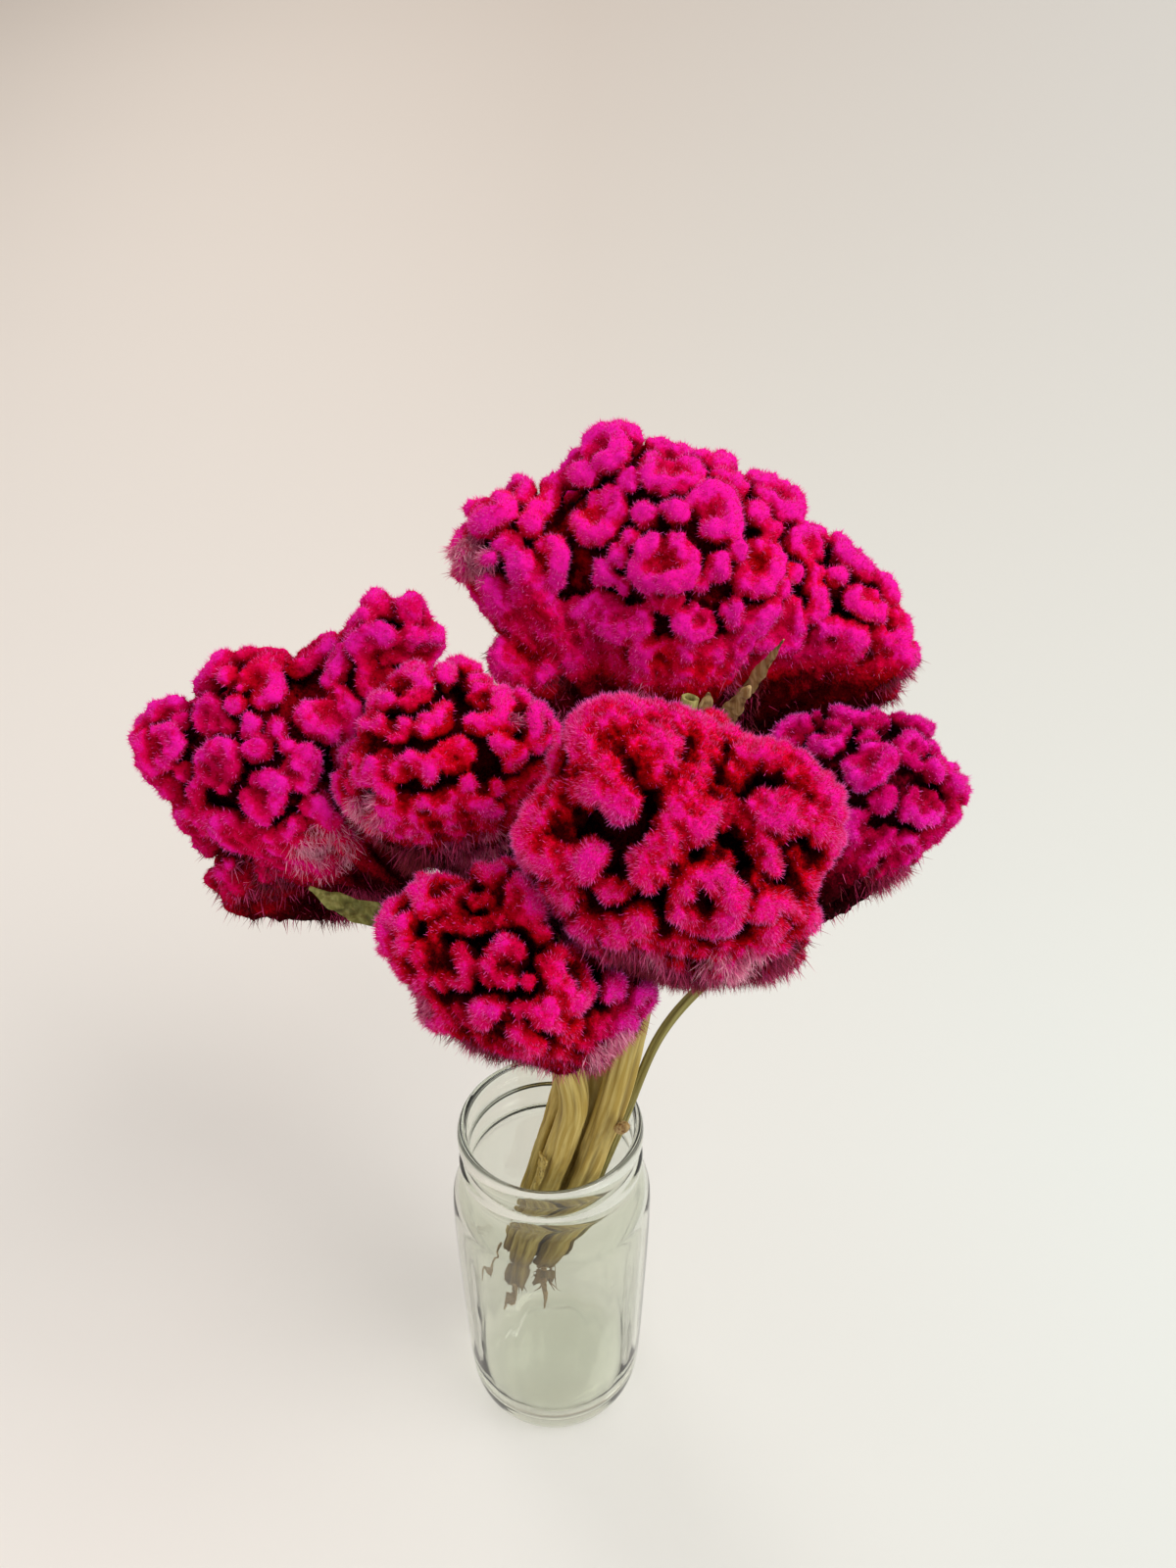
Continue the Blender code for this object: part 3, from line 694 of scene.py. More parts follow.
# %% The funnel under a head
STEM_OF = {
    "head_front": "stem_front", "head_front_low": "stem_front_low", "head_back": "stem_back",
    "head_middle_left": "stem_middle_left", "head_left": "stem_left", "head_right": "stem_right",
}
UP = np.array([0.0, 0.0, 1.0])
MOST_RIBS = 110
RIB_SPACING = 7 * MM
RIB_PACE = 1.2 * MM
RIB_REACH = 88 * MM
RIB_SAG = 0.12


def carve_funnel(head, rng, drop, thick):
    """Ribs that spread from the stem, a drop below its top, to the underside of the head."""
    stem = np.array([v.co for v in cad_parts[STEM_OF[head.node]].data.vertices])
    peak = stem[:, 2].max()
    top = stem[stem[:, 2] > peak - 4 * MM].mean(0)
    lower = stem[stem[:, 2] > peak - drop - 4 * MM]
    lower = lower[lower[:, 2] < peak - drop + 4 * MM].mean(0)
    ends = [p for p in spread_points(head.guide, head.low_box, head.high_box, RIB_SPACING, rng, 900)
            if settle(head.guide, p)[1][2] < -0.1 and np.linalg.norm(p - top) < RIB_REACH]
    for end in ends[:MOST_RIBS]:
        inward = unit(head.middle - end)
        bend = (lower + end) / 2 - UP * RIB_SAG * np.linalg.norm(end - lower)
        last = end + inward * thick
        steps = int(np.linalg.norm(end - lower) / RIB_PACE) + 4
        for share in np.linspace(0, 1, steps):
            place = (1 - share) ** 2 * lower + 2 * share * (1 - share) * bend + share**2 * last
            stamp(head, place, thick * (0.55 + 0.55 * share))


print("heads with a stem below them:", len(STEM_OF))

# %% The skin of a carved head
ROUGHNESS = 0.5 * MM
COARSE_BUMPS = 4.2 * MM
FINE_BUMPS = 1.9 * MM
PROBE = 1.5 * MM


def skin_of(head, seed):
    """The skin of the whole head: points, faces, normals and face vectors."""
    field = only_joined(head.field, head.depth > head.core + 2 * MM)
    field = 0.6 * field + 0.4 * box_blur(field, 1)
    points, faces = skin(field, head.low, VOXEL)
    points = eased(points, faces, 0.5, 2)
    normals, _ = normals_of(points, faces)
    bumps = ripple(points, COARSE_BUMPS, seed) + 0.5 * ripple(points, FINE_BUMPS, seed + 1)
    points = points + normals * (ROUGHNESS * bumps)[:, None]
    normals, flats = normals_of(points, faces)
    shut = box_blur((field < 0).astype(float), 5)
    shut_wide = box_blur(shut, 6)
    probe = points + normals * PROBE
    head.open = 1 - sample(shut, head.low, VOXEL, probe)
    head.open_wide = 1 - sample(shut_wide, head.low, VOXEL, probe)
    head.sunk = sample(head.depth, head.low, VOXEL, points)
    return points, faces, normals, flats


print("a skin reads how open it is", PROBE / MM, "mm in front of it")

# %% [markdown]
# ## Velvet
# The pile is what makes a cockscomb: thousands of fine scales stand on every roll. Their colour
# runs from near black at the bottom of a fold, through deep red, to magenta on the rolls, and each
# scale fades to pale pink at its tip. The near black and deep red of the folds are painted shade,
# the brightest magenta on the outer rolls is partly painted light, and the pale tips on the
# brightest rolls are partly a painted highlight. One node group mixes that colour from a tone and a
# share of purple, so the rolls and the pile on them always match.

# %% Nodes for sums and colour ramps
def math_node(tree, operation, first, second=0.0, clamp=False):
    """One sum of two numbers or sockets, kept between 0 and 1 if clamp is set."""
    return add_node(
        tree, "ShaderNodeMath", {0: first, 1: second}, operation=operation, use_clamp=clamp
    ).outputs[0]


def ramp_node(tree, share, stops):
    """A colour ramp through stops, each a place from 0 to 1 and a colour."""
    node = add_node(tree, "ShaderNodeValToRGB", {0: share})
    elements = node.color_ramp.elements
    while len(elements) < len(stops):
        elements.new(0.5)
    for element, (place, colour) in zip(elements, stops):
        element.position = place
        element.color = (*colour, 1)
    return node.outputs[0]


print("sum and ramp nodes ready")

# %% The velvet colour group
DEEP = (0.003, 0.0, 0.0)
DARK_RED = (0.06, 0.0, 0.001)
CRIMSON = (0.43, 0.0003, 0.003)
MAGENTA = (0.80, 0.0007, 0.022)
PINK = (0.98, 0.006, 0.34)
PURPLE_DARK = (0.05, 0.0, 0.005)
PURPLE_RED = (0.40, 0.0005, 0.036)
PURPLE = (0.66, 0.001, 0.17)
PURPLE_PINK = (0.88, 0.012, 0.44)
TONE_PLACES = (0.0, 0.18, 0.46, 0.74, 1.0)
PALE_PINK = (1.0, 0.27, 0.66)
PALE_PURPLE = (0.95, 0.34, 0.94)
# The higher this power, the more the pale tips keep to the brightest tones, where they are partly a
# painted highlight.
TIP_POWER = 9


def velvet_group():
    """Colour of velvet from its tone, its share of purple and how near a scale's tip it is; the tone
    carries painted shade and light.
    """
    group = bpy.data.node_groups.new("velvet colour", "ShaderNodeTree")
    for name in ("Tone", "Purple", "Tip"):
        group.interface.new_socket(name=name, in_out="INPUT", socket_type="NodeSocketFloat")
    group.interface.new_socket(name="Color", in_out="OUTPUT", socket_type="NodeSocketColor")
    start = group.nodes.new("NodeGroupInput")
    end = group.nodes.new("NodeGroupOutput")
    tone, purple = start.outputs["Tone"], start.outputs["Purple"]
    reds = (DEEP, DARK_RED, CRIMSON, MAGENTA, PINK)
    purples = (DEEP, PURPLE_DARK, PURPLE_RED, PURPLE, PURPLE_PINK)
    red_side = ramp_node(group, tone, list(zip(TONE_PLACES, reds)))
    purple_side = ramp_node(group, tone, list(zip(TONE_PLACES, purples)))
    colour = mix_colour(group, purple, red_side, purple_side)
    pale = mix_colour(group, purple, PALE_PINK, PALE_PURPLE)
    strong = math_node(group, "POWER", tone, TIP_POWER)
    lit = math_node(group, "MULTIPLY", start.outputs["Tip"], strong, clamp=True)
    group.links.new(mix_colour(group, lit, colour, pale), end.inputs["Color"])
    return group


VELVET = velvet_group()
print("velvet group inputs:", [s.name for s in VELVET.interface.items_tree if s.in_out == "INPUT"])


# %% Nodes for noise, relief and stored numbers
def noise_node(tree, scale, detail=3.0, roughness=0.55, stretch=None, place=None):
    """Noise in the row frame, scale features to the metre; stretch lengthens it along an axis."""
    place = place or add_node(tree, "ShaderNodeTexCoord").outputs["Object"]
    if stretch:
        place = add_node(tree, "ShaderNodeMapping", {"Vector": place, "Scale": stretch}).outputs[0]
    inputs = {"Vector": place, "Scale": scale, "Detail": detail, "Roughness": roughness}
    return add_node(tree, "ShaderNodeTexNoise", inputs).outputs[0]


def bump_node(tree, height, distance, strength):
    """A normal that follows a height, distance metres deep."""
    inputs = {"Height": height, "Distance": distance, "Strength": strength}
    return add_node(tree, "ShaderNodeBump", inputs).outputs[0]


def attribute_node(tree, name, kind="Fac"):
    """The value that set_attribute stored under a name on the piece."""
    return add_node(tree, "ShaderNodeAttribute", attribute_name=name).outputs[kind]


print("noise, relief and attribute nodes ready")

# %% The rolls under the pile
VELVET_GRAIN = 1400
VELVET_SPECK = 0.35


def velvet_material():
    """A matt skin with a fine speckle, in the tone and purple stored on the piece."""
    material, tree, shader = new_material("velvet")
    grain = noise_node(tree, VELVET_GRAIN, 2.0)
    speck = math_node(tree, "MULTIPLY", math_node(tree, "SUBTRACT", grain, 0.5), VELVET_SPECK)
    tone = math_node(tree, "ADD", attribute_node(tree, "tone"), speck, clamp=True)
    group = add_node(tree, "ShaderNodeGroup", node_tree=VELVET)
    tree.links.new(tone, group.inputs["Tone"])
    tree.links.new(attribute_node(tree, "purple"), group.inputs["Purple"])
    group.inputs["Tip"].default_value = 0.0
    tree.links.new(group.outputs["Color"], shader.inputs["Base Color"])
    tree.links.new(bump_node(tree, grain, 0.4 * MM, 0.6), shader.inputs["Normal"])
    shader.inputs["Roughness"].default_value = 0.9
    shader.inputs["Specular IOR Level"].default_value = 0.02
    return material


VELVET_SKIN = velvet_material()
print("velvet skin nodes:", len(VELVET_SKIN.node_tree.nodes))

# %% [markdown]
# ## Pile and chaff
# Over half a million scales can't each have a material, so each carries its tone on its map: the
# map is cut into bands from left to right, one for each tone. The place inside a band is a second
# number, and up the map runs the length of the scale. Hair curves would look alike, but scales
# made of real triangles can be exported with the piece.

# %% Reading a scale's map
TONE_BANDS = 8


def scale_map(tree):
    """What a scale's map says: the number of its band as a share, the place in it, and the length."""
    place = add_node(tree, "ShaderNodeUVMap", uv_map="OFBake").outputs[0]
    split = add_node(tree, "ShaderNodeSeparateXYZ", {0: place})
    scaled = math_node(tree, "MULTIPLY", split.outputs["X"], TONE_BANDS)
    band = math_node(tree, "DIVIDE", math_node(tree, "FLOOR", scaled), TONE_BANDS - 1)
    return band, math_node(tree, "FRACT", scaled), split.outputs["Y"]


print("tones the pile can have:", TONE_BANDS)

# %% Pile finish
# A scale's tone is multiplied by the first number at its root, and by both added at its tip.
PILE_ROOT_TONE = 0.74
PILE_TIP_TONE = 0.6
PILE_PALENESS = 0.95


def pile_material():
    """Velvet scales, which brighten from root to tip and end pale."""
    material, tree, shader = new_material("pile")
    tone, purple, up = scale_map(tree)
    rise = math_node(tree, "ADD", PILE_ROOT_TONE, math_node(tree, "MULTIPLY", up, PILE_TIP_TONE))
    group = add_node(tree, "ShaderNodeGroup", node_tree=VELVET)
    tree.links.new(math_node(tree, "MULTIPLY", tone, rise, clamp=True), group.inputs["Tone"])
    tree.links.new(purple, group.inputs["Purple"])
    tip = math_node(tree, "MULTIPLY", math_node(tree, "POWER", up, 2.0), PILE_PALENESS)
    tree.links.new(tip, group.inputs["Tip"])
    tree.links.new(group.outputs["Color"], shader.inputs["Base Color"])
    shader.inputs["Roughness"].default_value = 0.7
    shader.inputs["Specular IOR Level"].default_value = 0.01
    return material


PILE = pile_material()
print("pile nodes:", len(PILE.node_tree.nodes))

# %% Chaff finish
CHAFF_ROOTS = [(0.0, (0.05, 0.001, 0.004)), (0.4, (0.34, 0.003, 0.06)), (0.75, (0.62, 0.03, 0.20)),
               (1.0, (0.76, 0.14, 0.34))]
CHAFF_TIPS = [(0.0, (0.30, 0.02, 0.04)), (0.35, (0.64, 0.04, 0.17)), (0.7, (0.93, 0.20, 0.43)),
              (1.0, (1.0, 0.62, 0.70))]


def chaff_material():
    """Spent florets: maroon at the root, through dusty pink, to bleached at the tip."""
    material, tree, shader = new_material("chaff")
    pale, _, up = scale_map(tree)
    root = ramp_node(tree, pale, CHAFF_ROOTS)
    tip = ramp_node(tree, pale, CHAFF_TIPS)
    colour = mix_colour(tree, math_node(tree, "POWER", up, 1.3), root, tip)
    tree.links.new(colour, shader.inputs["Base Color"])
    shader.inputs["Roughness"].default_value = 0.6
    shader.inputs["Specular IOR Level"].default_value = 0.2
    return material


CHAFF = chaff_material()
print("chaff nodes:", len(CHAFF.node_tree.nodes))

# %% One piece made of scales
ROOT_OF_MAP = 0.03
TIP_OF_MAP = 0.97


def scale_mesh(name, roots, ways, sides, lengths, halves, across, material):
    """One piece made of a three-cornered scale for each root, mapped by tone and length."""
    count = len(roots)
    left = roots - sides * halves[:, None]
    right = roots + sides * halves[:, None]
    tip = roots + ways * lengths[:, None]
    verts = np.stack([left, right, tip], 1).reshape(-1, 3)
    mesh = bpy.data.meshes.new(name)
    mesh.vertices.add(3 * count)
    mesh.vertices.foreach_set("co", verts.astype(np.float32).ravel())
    mesh.loops.add(3 * count)
    mesh.loops.foreach_set("vertex_index", np.arange(3 * count, dtype=np.int32))
    mesh.polygons.add(count)
    mesh.polygons.foreach_set("loop_start", np.arange(0, 3 * count, 3, dtype=np.int32))
    mesh.update()
    up = np.tile([ROOT_OF_MAP, ROOT_OF_MAP, TIP_OF_MAP], count)
    layer = mesh.uv_layers.new(name="OFBake")
    layer.data.foreach_set(
        "uv", np.stack([np.repeat(across, 3), up], 1).astype(np.float32).ravel()
    )
    mesh.materials.append(material)
    piece = bpy.data.objects.new(name, mesh)
    bpy.context.scene.collection.objects.link(piece)
    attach(piece, "root")
    return piece


print("width of a band on the map:", 1 / TONE_BANDS)


# %% Scattering spots over a skin
def scatter(head, weight, count, rng):
    """Random spots on a head's skin, denser where the weight is high: place, way out, tone, purple."""
    points, faces, normals, flats = head.skin
    chance = np.linalg.norm(flats, axis=1) * weight[faces].mean(1)
    chosen = rng.choice(len(faces), count, p=chance / chance.sum())
    u, v = rng.uniform(0, 1, (2, count, 1))
    corners = [faces[chosen, i] for i in range(4)]

    def spread(values):
        """The values at the spots, filled in between the corners of their faces."""
        one, two, three, four = (values.reshape(len(points), -1)[c] for c in corners)
        return (one * (1 - u) + two * u) * (1 - v) + (four * (1 - u) + three * u) * v

    return spread(points), unit(spread(normals)), spread(head.tone)[:, 0], spread(head.purple)[:, 0]


print("numbers kept for each spot: place, way out, tone, purple")

# %% Growing the pile
PILE_WIDTH = 0.17 * MM
# This share of the scales on bright parts is longer, wider and pale: painted glints of the crest.
SPARKLE = 0.14
SPARKLE_LENGTH = 1.35
SPARKLE_WIDTH = 1.7


def grow_pile(name, head, count, length, seed):
    """The velvet: fine scales on every open part, with a few long bright ones among them."""
    rng = np.random.default_rng(seed)
    weight = np.clip((head.tone - 0.05) * 3, 0, 1)
    root, way, tone, purple = scatter(head, weight, count, rng)
    out = unit(root - head.middle)
    grow = unit(way + 0.25 * out + rng.normal(size=(count, 3)) * 0.2)
    side = unit(np.cross(grow, rng.normal(size=(count, 3))))
    bright = np.clip(0.92 * tone + rng.normal(0, 0.07, count), 0, 0.86)
    sparkle = (rng.uniform(0, 1, count) < SPARKLE * tone) & (tone > 0.3)
    tall = length * rng.uniform(0.5, 1.0, count) * (0.6 + 0.4 * tone)
    tall = tall * np.where(sparkle, SPARKLE_LENGTH, 1)
    half = 0.5 * PILE_WIDTH * rng.uniform(0.7, 1.3, count) * np.where(sparkle, SPARKLE_WIDTH, 1)
    band = np.floor(np.where(sparkle, 0.99, bright) * TONE_BANDS)
    inner = np.clip(purple + rng.normal(0, 0.1, count), 0.06, 0.94)
    scale_mesh(name, root - grow * 0.3 * MM, grow, side, tall, half,
               (band + inner) / TONE_BANDS, PILE)


print("pile width in mm:", round(PILE_WIDTH / MM, 2))

# %% Growing chaff
CHAFF_WIDTH = 0.42 * MM
CHAFF_DROOP = 0.45
CHAFF_PATCHES = 14 * MM


def grow_chaff(name, head, weight, count, seed, longest, pale):
    """Chaffy scales of spent florets, which droop; pale 0 leaves them maroon, 1 bleaches them."""
    rng = np.random.default_rng(seed)
    root, way, _, _ = scatter(head, weight, count, rng)
    out = unit(root - head.middle)
    grow = unit(way + 0.35 * out - CHAFF_DROOP * UP + rng.normal(size=(count, 3)) * 0.5)
    side = unit(np.cross(grow, rng.normal(size=(count, 3))))
    tall = longest * rng.uniform(0.35, 1.0, count) ** 1.3
    half = 0.5 * CHAFF_WIDTH * rng.uniform(0.5, 1.2, count)
    shade = ripple(root, CHAFF_PATCHES, seed + 1) * 0.2 + pale + rng.normal(0, 0.16, count)
    band = np.floor(np.clip(shade, 0, 0.99) * TONE_BANDS)
    inner = rng.uniform(0.1, 0.9, count)
    scale_mesh(name, root - grow * 0.5 * MM, grow, side, tall, half,
               (band + inner) / TONE_BANDS, CHAFF)


print("chaff width in mm:", round(CHAFF_WIDTH / MM, 2))

# %% [markdown]
# ## Folds drawn one by one
# The front head is the one a viewer studies, so its folds aren't left to chance. Each is a line
# drawn over the head as the viewer sees it, and every point of the line is sent from the camera
# on to the guide by a ray. The other folds of that head sink deeper and only fill the gaps.

# %% From the viewer's eye to the guide
CAMERA_RIGHT = np.array((1, 0, 0))
CAMERA_UP = np.array((0, math.sin(CAMERA_PITCH), math.cos(CAMERA_PITCH)))
CAMERA_AHEAD = np.array((0, math.cos(CAMERA_PITCH), -math.sin(CAMERA_PITCH)))


def outline_box(node):
    """The node's outline as the camera sees it: lowest and highest slope to the right and up."""
    points = np.array([v.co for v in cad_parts[node].data.vertices])
    away = points - np.array(CAMERA_PLACE)
    slopes = np.stack([away @ CAMERA_RIGHT, away @ CAMERA_UP], 1) / (away @ CAMERA_AHEAD)[:, None]
    return slopes.min(0), slopes.max(0)


def seen_point(head, share):
    """The point of the guide that the viewer sees at this share across and up its outline."""
    low, high = head.outline
    slope = low + np.array(share) * (high - low)
    way = unit(CAMERA_AHEAD + slope[0] * CAMERA_RIGHT + slope[1] * CAMERA_UP)
    hit = head.guide.ray_cast(Vector(CAMERA_PLACE), Vector(way))[0]
    if hit is None:
        past = np.array(CAMERA_PLACE) + way * np.linalg.norm(head.middle - CAMERA_PLACE)
        hit = settle(head.guide, past)[0]
    return np.array(hit)


print("front head's outline, slopes:", [side.round(2) for side in outline_box("head_front")])

# %% Folds as lines on the guide
DRAWN_STEPS = 8
DRAWN_ROUNDS = 3


def drawn_lines(head, folds):
    """The folds as smooth lines of points on the guide."""
    lines = []
    for shares, _, _ in folds:
        shares = np.array(shares)
        fine = []
        for first, last in zip(shares[:-1], shares[1:]):
            fine += [first + (last - first) * t for t in np.linspace(0, 1, DRAWN_STEPS + 1)[:-1]]
        fine.append(shares[-1])
        fine = np.array(fine)
        for _ in range(DRAWN_ROUNDS):
            fine[1:-1] = 0.5 * fine[1:-1] + 0.25 * (fine[:-2] + fine[2:])
        lines.append([seen_point(head, share) for share in fine])
    return lines


print("points between two that are drawn:", DRAWN_STEPS - 1)

# %% The front head's own folds
# Each fold is a line drawn on the head as the viewer sees it: shares across and up its outline,
# then the roll's radius and how far the roll sinks below the guide, both in millimetres.
FRONT_FOLDS = [
    # The pillow: a broad ring, open at its lower left, with a low middle.
    ([(.285, .714), (.205, .78), (.195, .861), (.251, .915), (.34, .94), (.435, .935), (.524, .898),
      (.586, .839), (.592, .773), (.555, .706), (.53, .64), (.50, .60)], 4.2, 4.2),
    ([(.42, .875), (.475, .82), (.475, .75), (.44, .70)], 3.8, 5.6),
    ([(.31, .82), (.37, .85), (.44, .85), (.52, .80)], 4.6, 8.2),
    # The hook on the left, round a dark hollow.
    ([(.345, .59), (.285, .64), (.225, .668), (.155, .66), (.088, .615), (.045, .552), (.04, .482),
      (.07, .412), (.13, .376), (.20, .38), (.235, .40)], 3.9, 4.4),
    ([(.25, .448), (.285, .42), (.31, .382)], 2.6, 8.5),
    # The finger in the middle.
    ([(.483, .56), (.463, .50), (.442, .441), (.41, .382), (.395, .345)], 3.9, 3.2),
    # The little fan below the hook.
    ([(.25, .323), (.30, .293), (.353, .308)], 2.6, 4.5),
    ([(.325, .43), (.34, .367)], 2.2, 7.0),
    # The cup.
    ([(.505, .286), (.53, .34), (.586, .352), (.647, .323), (.668, .257), (.64, .19), (.579, .168),
      (.52, .195), (.50, .245)], 3.0, 2.8),
    ([(.57, .26), (.58, .25)], 3.2, 8.0),
    # Folds between the finger and the right-hand side.
    ([(.558, .507), (.575, .57), (.627, .596), (.688, .566), (.73, .515), (.757, .456),
      (.78, .39)], 3.0, 4.4),
    ([(.62, .648), (.648, .61)], 2.4, 3.4),
    ([(.613, .441), (.634, .39), (.661, .367)], 2.5, 6.0),
    # The right-hand side, from its crown down.
    ([(.652, .72), (.675, .78), (.736, .80), (.81, .785), (.88, .736), (.935, .684), (.968, .618),
      (.976, .56)], 3.4, 4.0),
    ([(.716, .603), (.777, .614), (.839, .61), (.894, .596)], 2.7, 5.0),
    ([(.764, .55), (.84, .552), (.907, .544), (.962, .493), (.976, .426), (.955, .352), (.962, .28),
      (.935, .242)], 3.4, 4.2),
    ([(.79, .53), (.812, .47)], 2.5, 5.0),
    ([(.866, .404), (.894, .345), (.88, .286)], 2.6, 7.0),
    ([(.723, .235), (.798, .271), (.846, .235), (.914, .198), (.976, .168), (.982, .138)], 3.2, 3.6),
    ([(.73, .33), (.77, .345)], 2.6, 6.0),
    ([(.463, .109), (.538, .087), (.613, .08), (.709, .087), (.812, .109), (.90, .131)], 2.8, 4.5),
    ([(.648, .869), (.682, .839), (.73, .825)], 2.6, 4.0),
]
print("folds drawn by hand:", len(FRONT_FOLDS))

# %% [markdown]
# ## Dressing the heads
# The same steps dress all six heads: carve the rolls, give every point of the skin a tone, and
# grow the pile. What differs from head to head sits in one table. The tone is ranked, mostly as
# painted shade and light: the deepest and most shut-in spots come out near black, and the
# outermost rolls get the brightest magenta.

# %% What differs from head to head
# spacing, radius and core: gap between folds, radius of a roll, depth of the core (mm).
# scallop: how wavy the rolls are. fans: share of scallop fans. lift: brightness. flare and drop:
# thickness and start of the ribs under the head (mm). gloom: share that is left black, as painted
# shade. violet: how purple its right edge turns. length: length of the pile (mm).
USUAL = {"fans": 0.8, "lift": 1.0, "flare": 3.4, "drop": 14, "gloom": 0.0, "violet": 0.0,
         "folds": (), "slot": "magenta_crest", "tufts": ()}
# A tuft of longer scales: shares across and up the outline of its head, its reach and its length
# in millimetres, and how bleached it is. The dark ones close the gaps between heads and stand for
# the shade there, a painted shade.
HEADS = {
    "head_front": {
        "spacing": 9.4, "radius": 3.8, "scallop": 0.16, "core": 10, "seed": 11, "pile": 160000,
        "length": 2.0, "purple": 0.02, "fans": 0.0, "lift": 1.12, "flare": 4.5, "gloom": 0.12,
        "folds": FRONT_FOLDS, "tufts": [(.66, .03, 8, 5, .85), (.80, .05, 6, 4, .7)]},
    "head_front_low": {
        "spacing": 7.4, "radius": 3.4, "scallop": 0.2, "core": 8.5, "seed": 23, "pile": 80000,
        "length": 1.9, "purple": 0.2, "violet": 0.8, "flare": 4.5, "gloom": 0.12,
        "tufts": [(.82, .12, 8, 5, .85), (.10, .30, 5, 4, .7), (.66, .72, 9, 13, .12)]},
    "head_middle_left": {
        "spacing": 7.6, "radius": 3.5, "scallop": 0.22, "core": 8.5, "seed": 37, "pile": 60000,
        "length": 1.7, "purple": 0.15, "lift": 1.2, "flare": 5.0,
        "tufts": [(.16, .20, 6, 5, .8), (.62, .06, 9, 5, .5), (.40, .02, 7, 9, .1),
                  (.82, .70, 3, 4, .3)]},
    "head_back": {
        "spacing": 8.0, "radius": 3.7, "scallop": 0.2, "core": 9, "seed": 41, "pile": 160000,
        "length": 1.8, "purple": 0.28, "lift": 1.28, "flare": 4.6,
        "tufts": [(.03, .52, 8, 5, .72), (.62, .10, 9, 5, .8)]},
    "head_left": {
        "spacing": 7.0, "radius": 3.2, "scallop": 0.22, "core": 8, "seed": 53, "pile": 100000,
        "length": 1.8, "purple": 0.45, "drop": 11, "slot": "purple_crest",
        "tufts": [(.62, .20, 9, 5, .88), (.86, .46, 5, 5, .8)]},
    "head_right": {
        "spacing": 6.6, "radius": 3.0, "scallop": 0.22, "core": 7.5, "seed": 67, "pile": 60000,
        "length": 1.7, "purple": 0.88, "slot": "purple_crest"},
}
print("scales of pile in all:", sum(look["pile"] for look in HEADS.values()))

# %% Carving the rolls
LOOP = 4.4
SWING = 1.5
ROLL_SINK = 0.55
DRAWN_SIZE = 1.22
FILL_SINK = 4.4 * MM
FAN_ROLL_SIZE = 0.86


def carve(head, look, rng):
    """Presses the drawn folds, the fans, the winding rolls and the funnel into a head's block."""
    scallop = look["scallop"]
    drawn = drawn_lines(head, look["folds"])
    for line, (_, size, sink) in zip(drawn, look["folds"]):
        carve_roll(head, line, size * DRAWN_SIZE * MM, (sink - 0.6 + 0.1 * size) * MM, rng,
                   scallop * 0.7)
    taken = [point for line in drawn for point in line]
    spacing = look["spacing"]
    lines = crest_lines(head.guide, head.low_box, head.high_box, spacing * MM,
                        spacing * LOOP * MM, SWING, rng, taken, look["fans"])
    for line, share, fan in lines:
        size = look["radius"] * MM * (0.25 + 0.75 * share) * rng.uniform(0.92, 1.12)
        sink = size * (1 + ROLL_SINK * rng.uniform(-0.5, 0.6)) - 1.2 * MM + (1 - share) * 4 * MM
        if fan:
            size *= FAN_ROLL_SIZE
            carve_roll(head, line, size, sink - 0.6 * MM, rng, 0.5 * scallop, 6 * MM, 2.0 * MM)
            carve_bowl(head, line, size, sink)
        else:
            sink += FILL_SINK if look["folds"] else 0.5 * MM
            carve_roll(head, line, size, sink, rng, scallop)
    carve_funnel(head, rng, look["drop"] * MM, look["flare"] * MM)
    return len(drawn) + len(lines)


print("a fold swings over", round(math.degrees(SWING)), "degrees to each side")

# %% Tones of a head
# A rank from the darkest point to the brightest, and the tone that rank gets.
TONE_RANKS = [0, 0.22, 0.45, 0.68, 0.86, 1.0]
TONE_STEPS = [0, 0.12, 0.42, 0.60, 0.76, 1.0]
# Ribs that stand outside the guide are the funnel's; this share makes them darker than the crest, a
# painted shade under the head.
FUNNEL_SHADE = 0.65
PATCHES = 26 * MM
FINE_PATCHES = 8 * MM
BLUSHES = 34 * MM
FINE_BLUSHES = 12 * MM
# How much of a point's rank comes from its height on the rolls, and from how open it is. High,
# open spots rank bright as painted light, and deep, shut-in ones dark as painted shade.
RISE_WEIGHT, OPEN_WEIGHT, WIDE_WEIGHT = 0.36, 0.34, 0.30


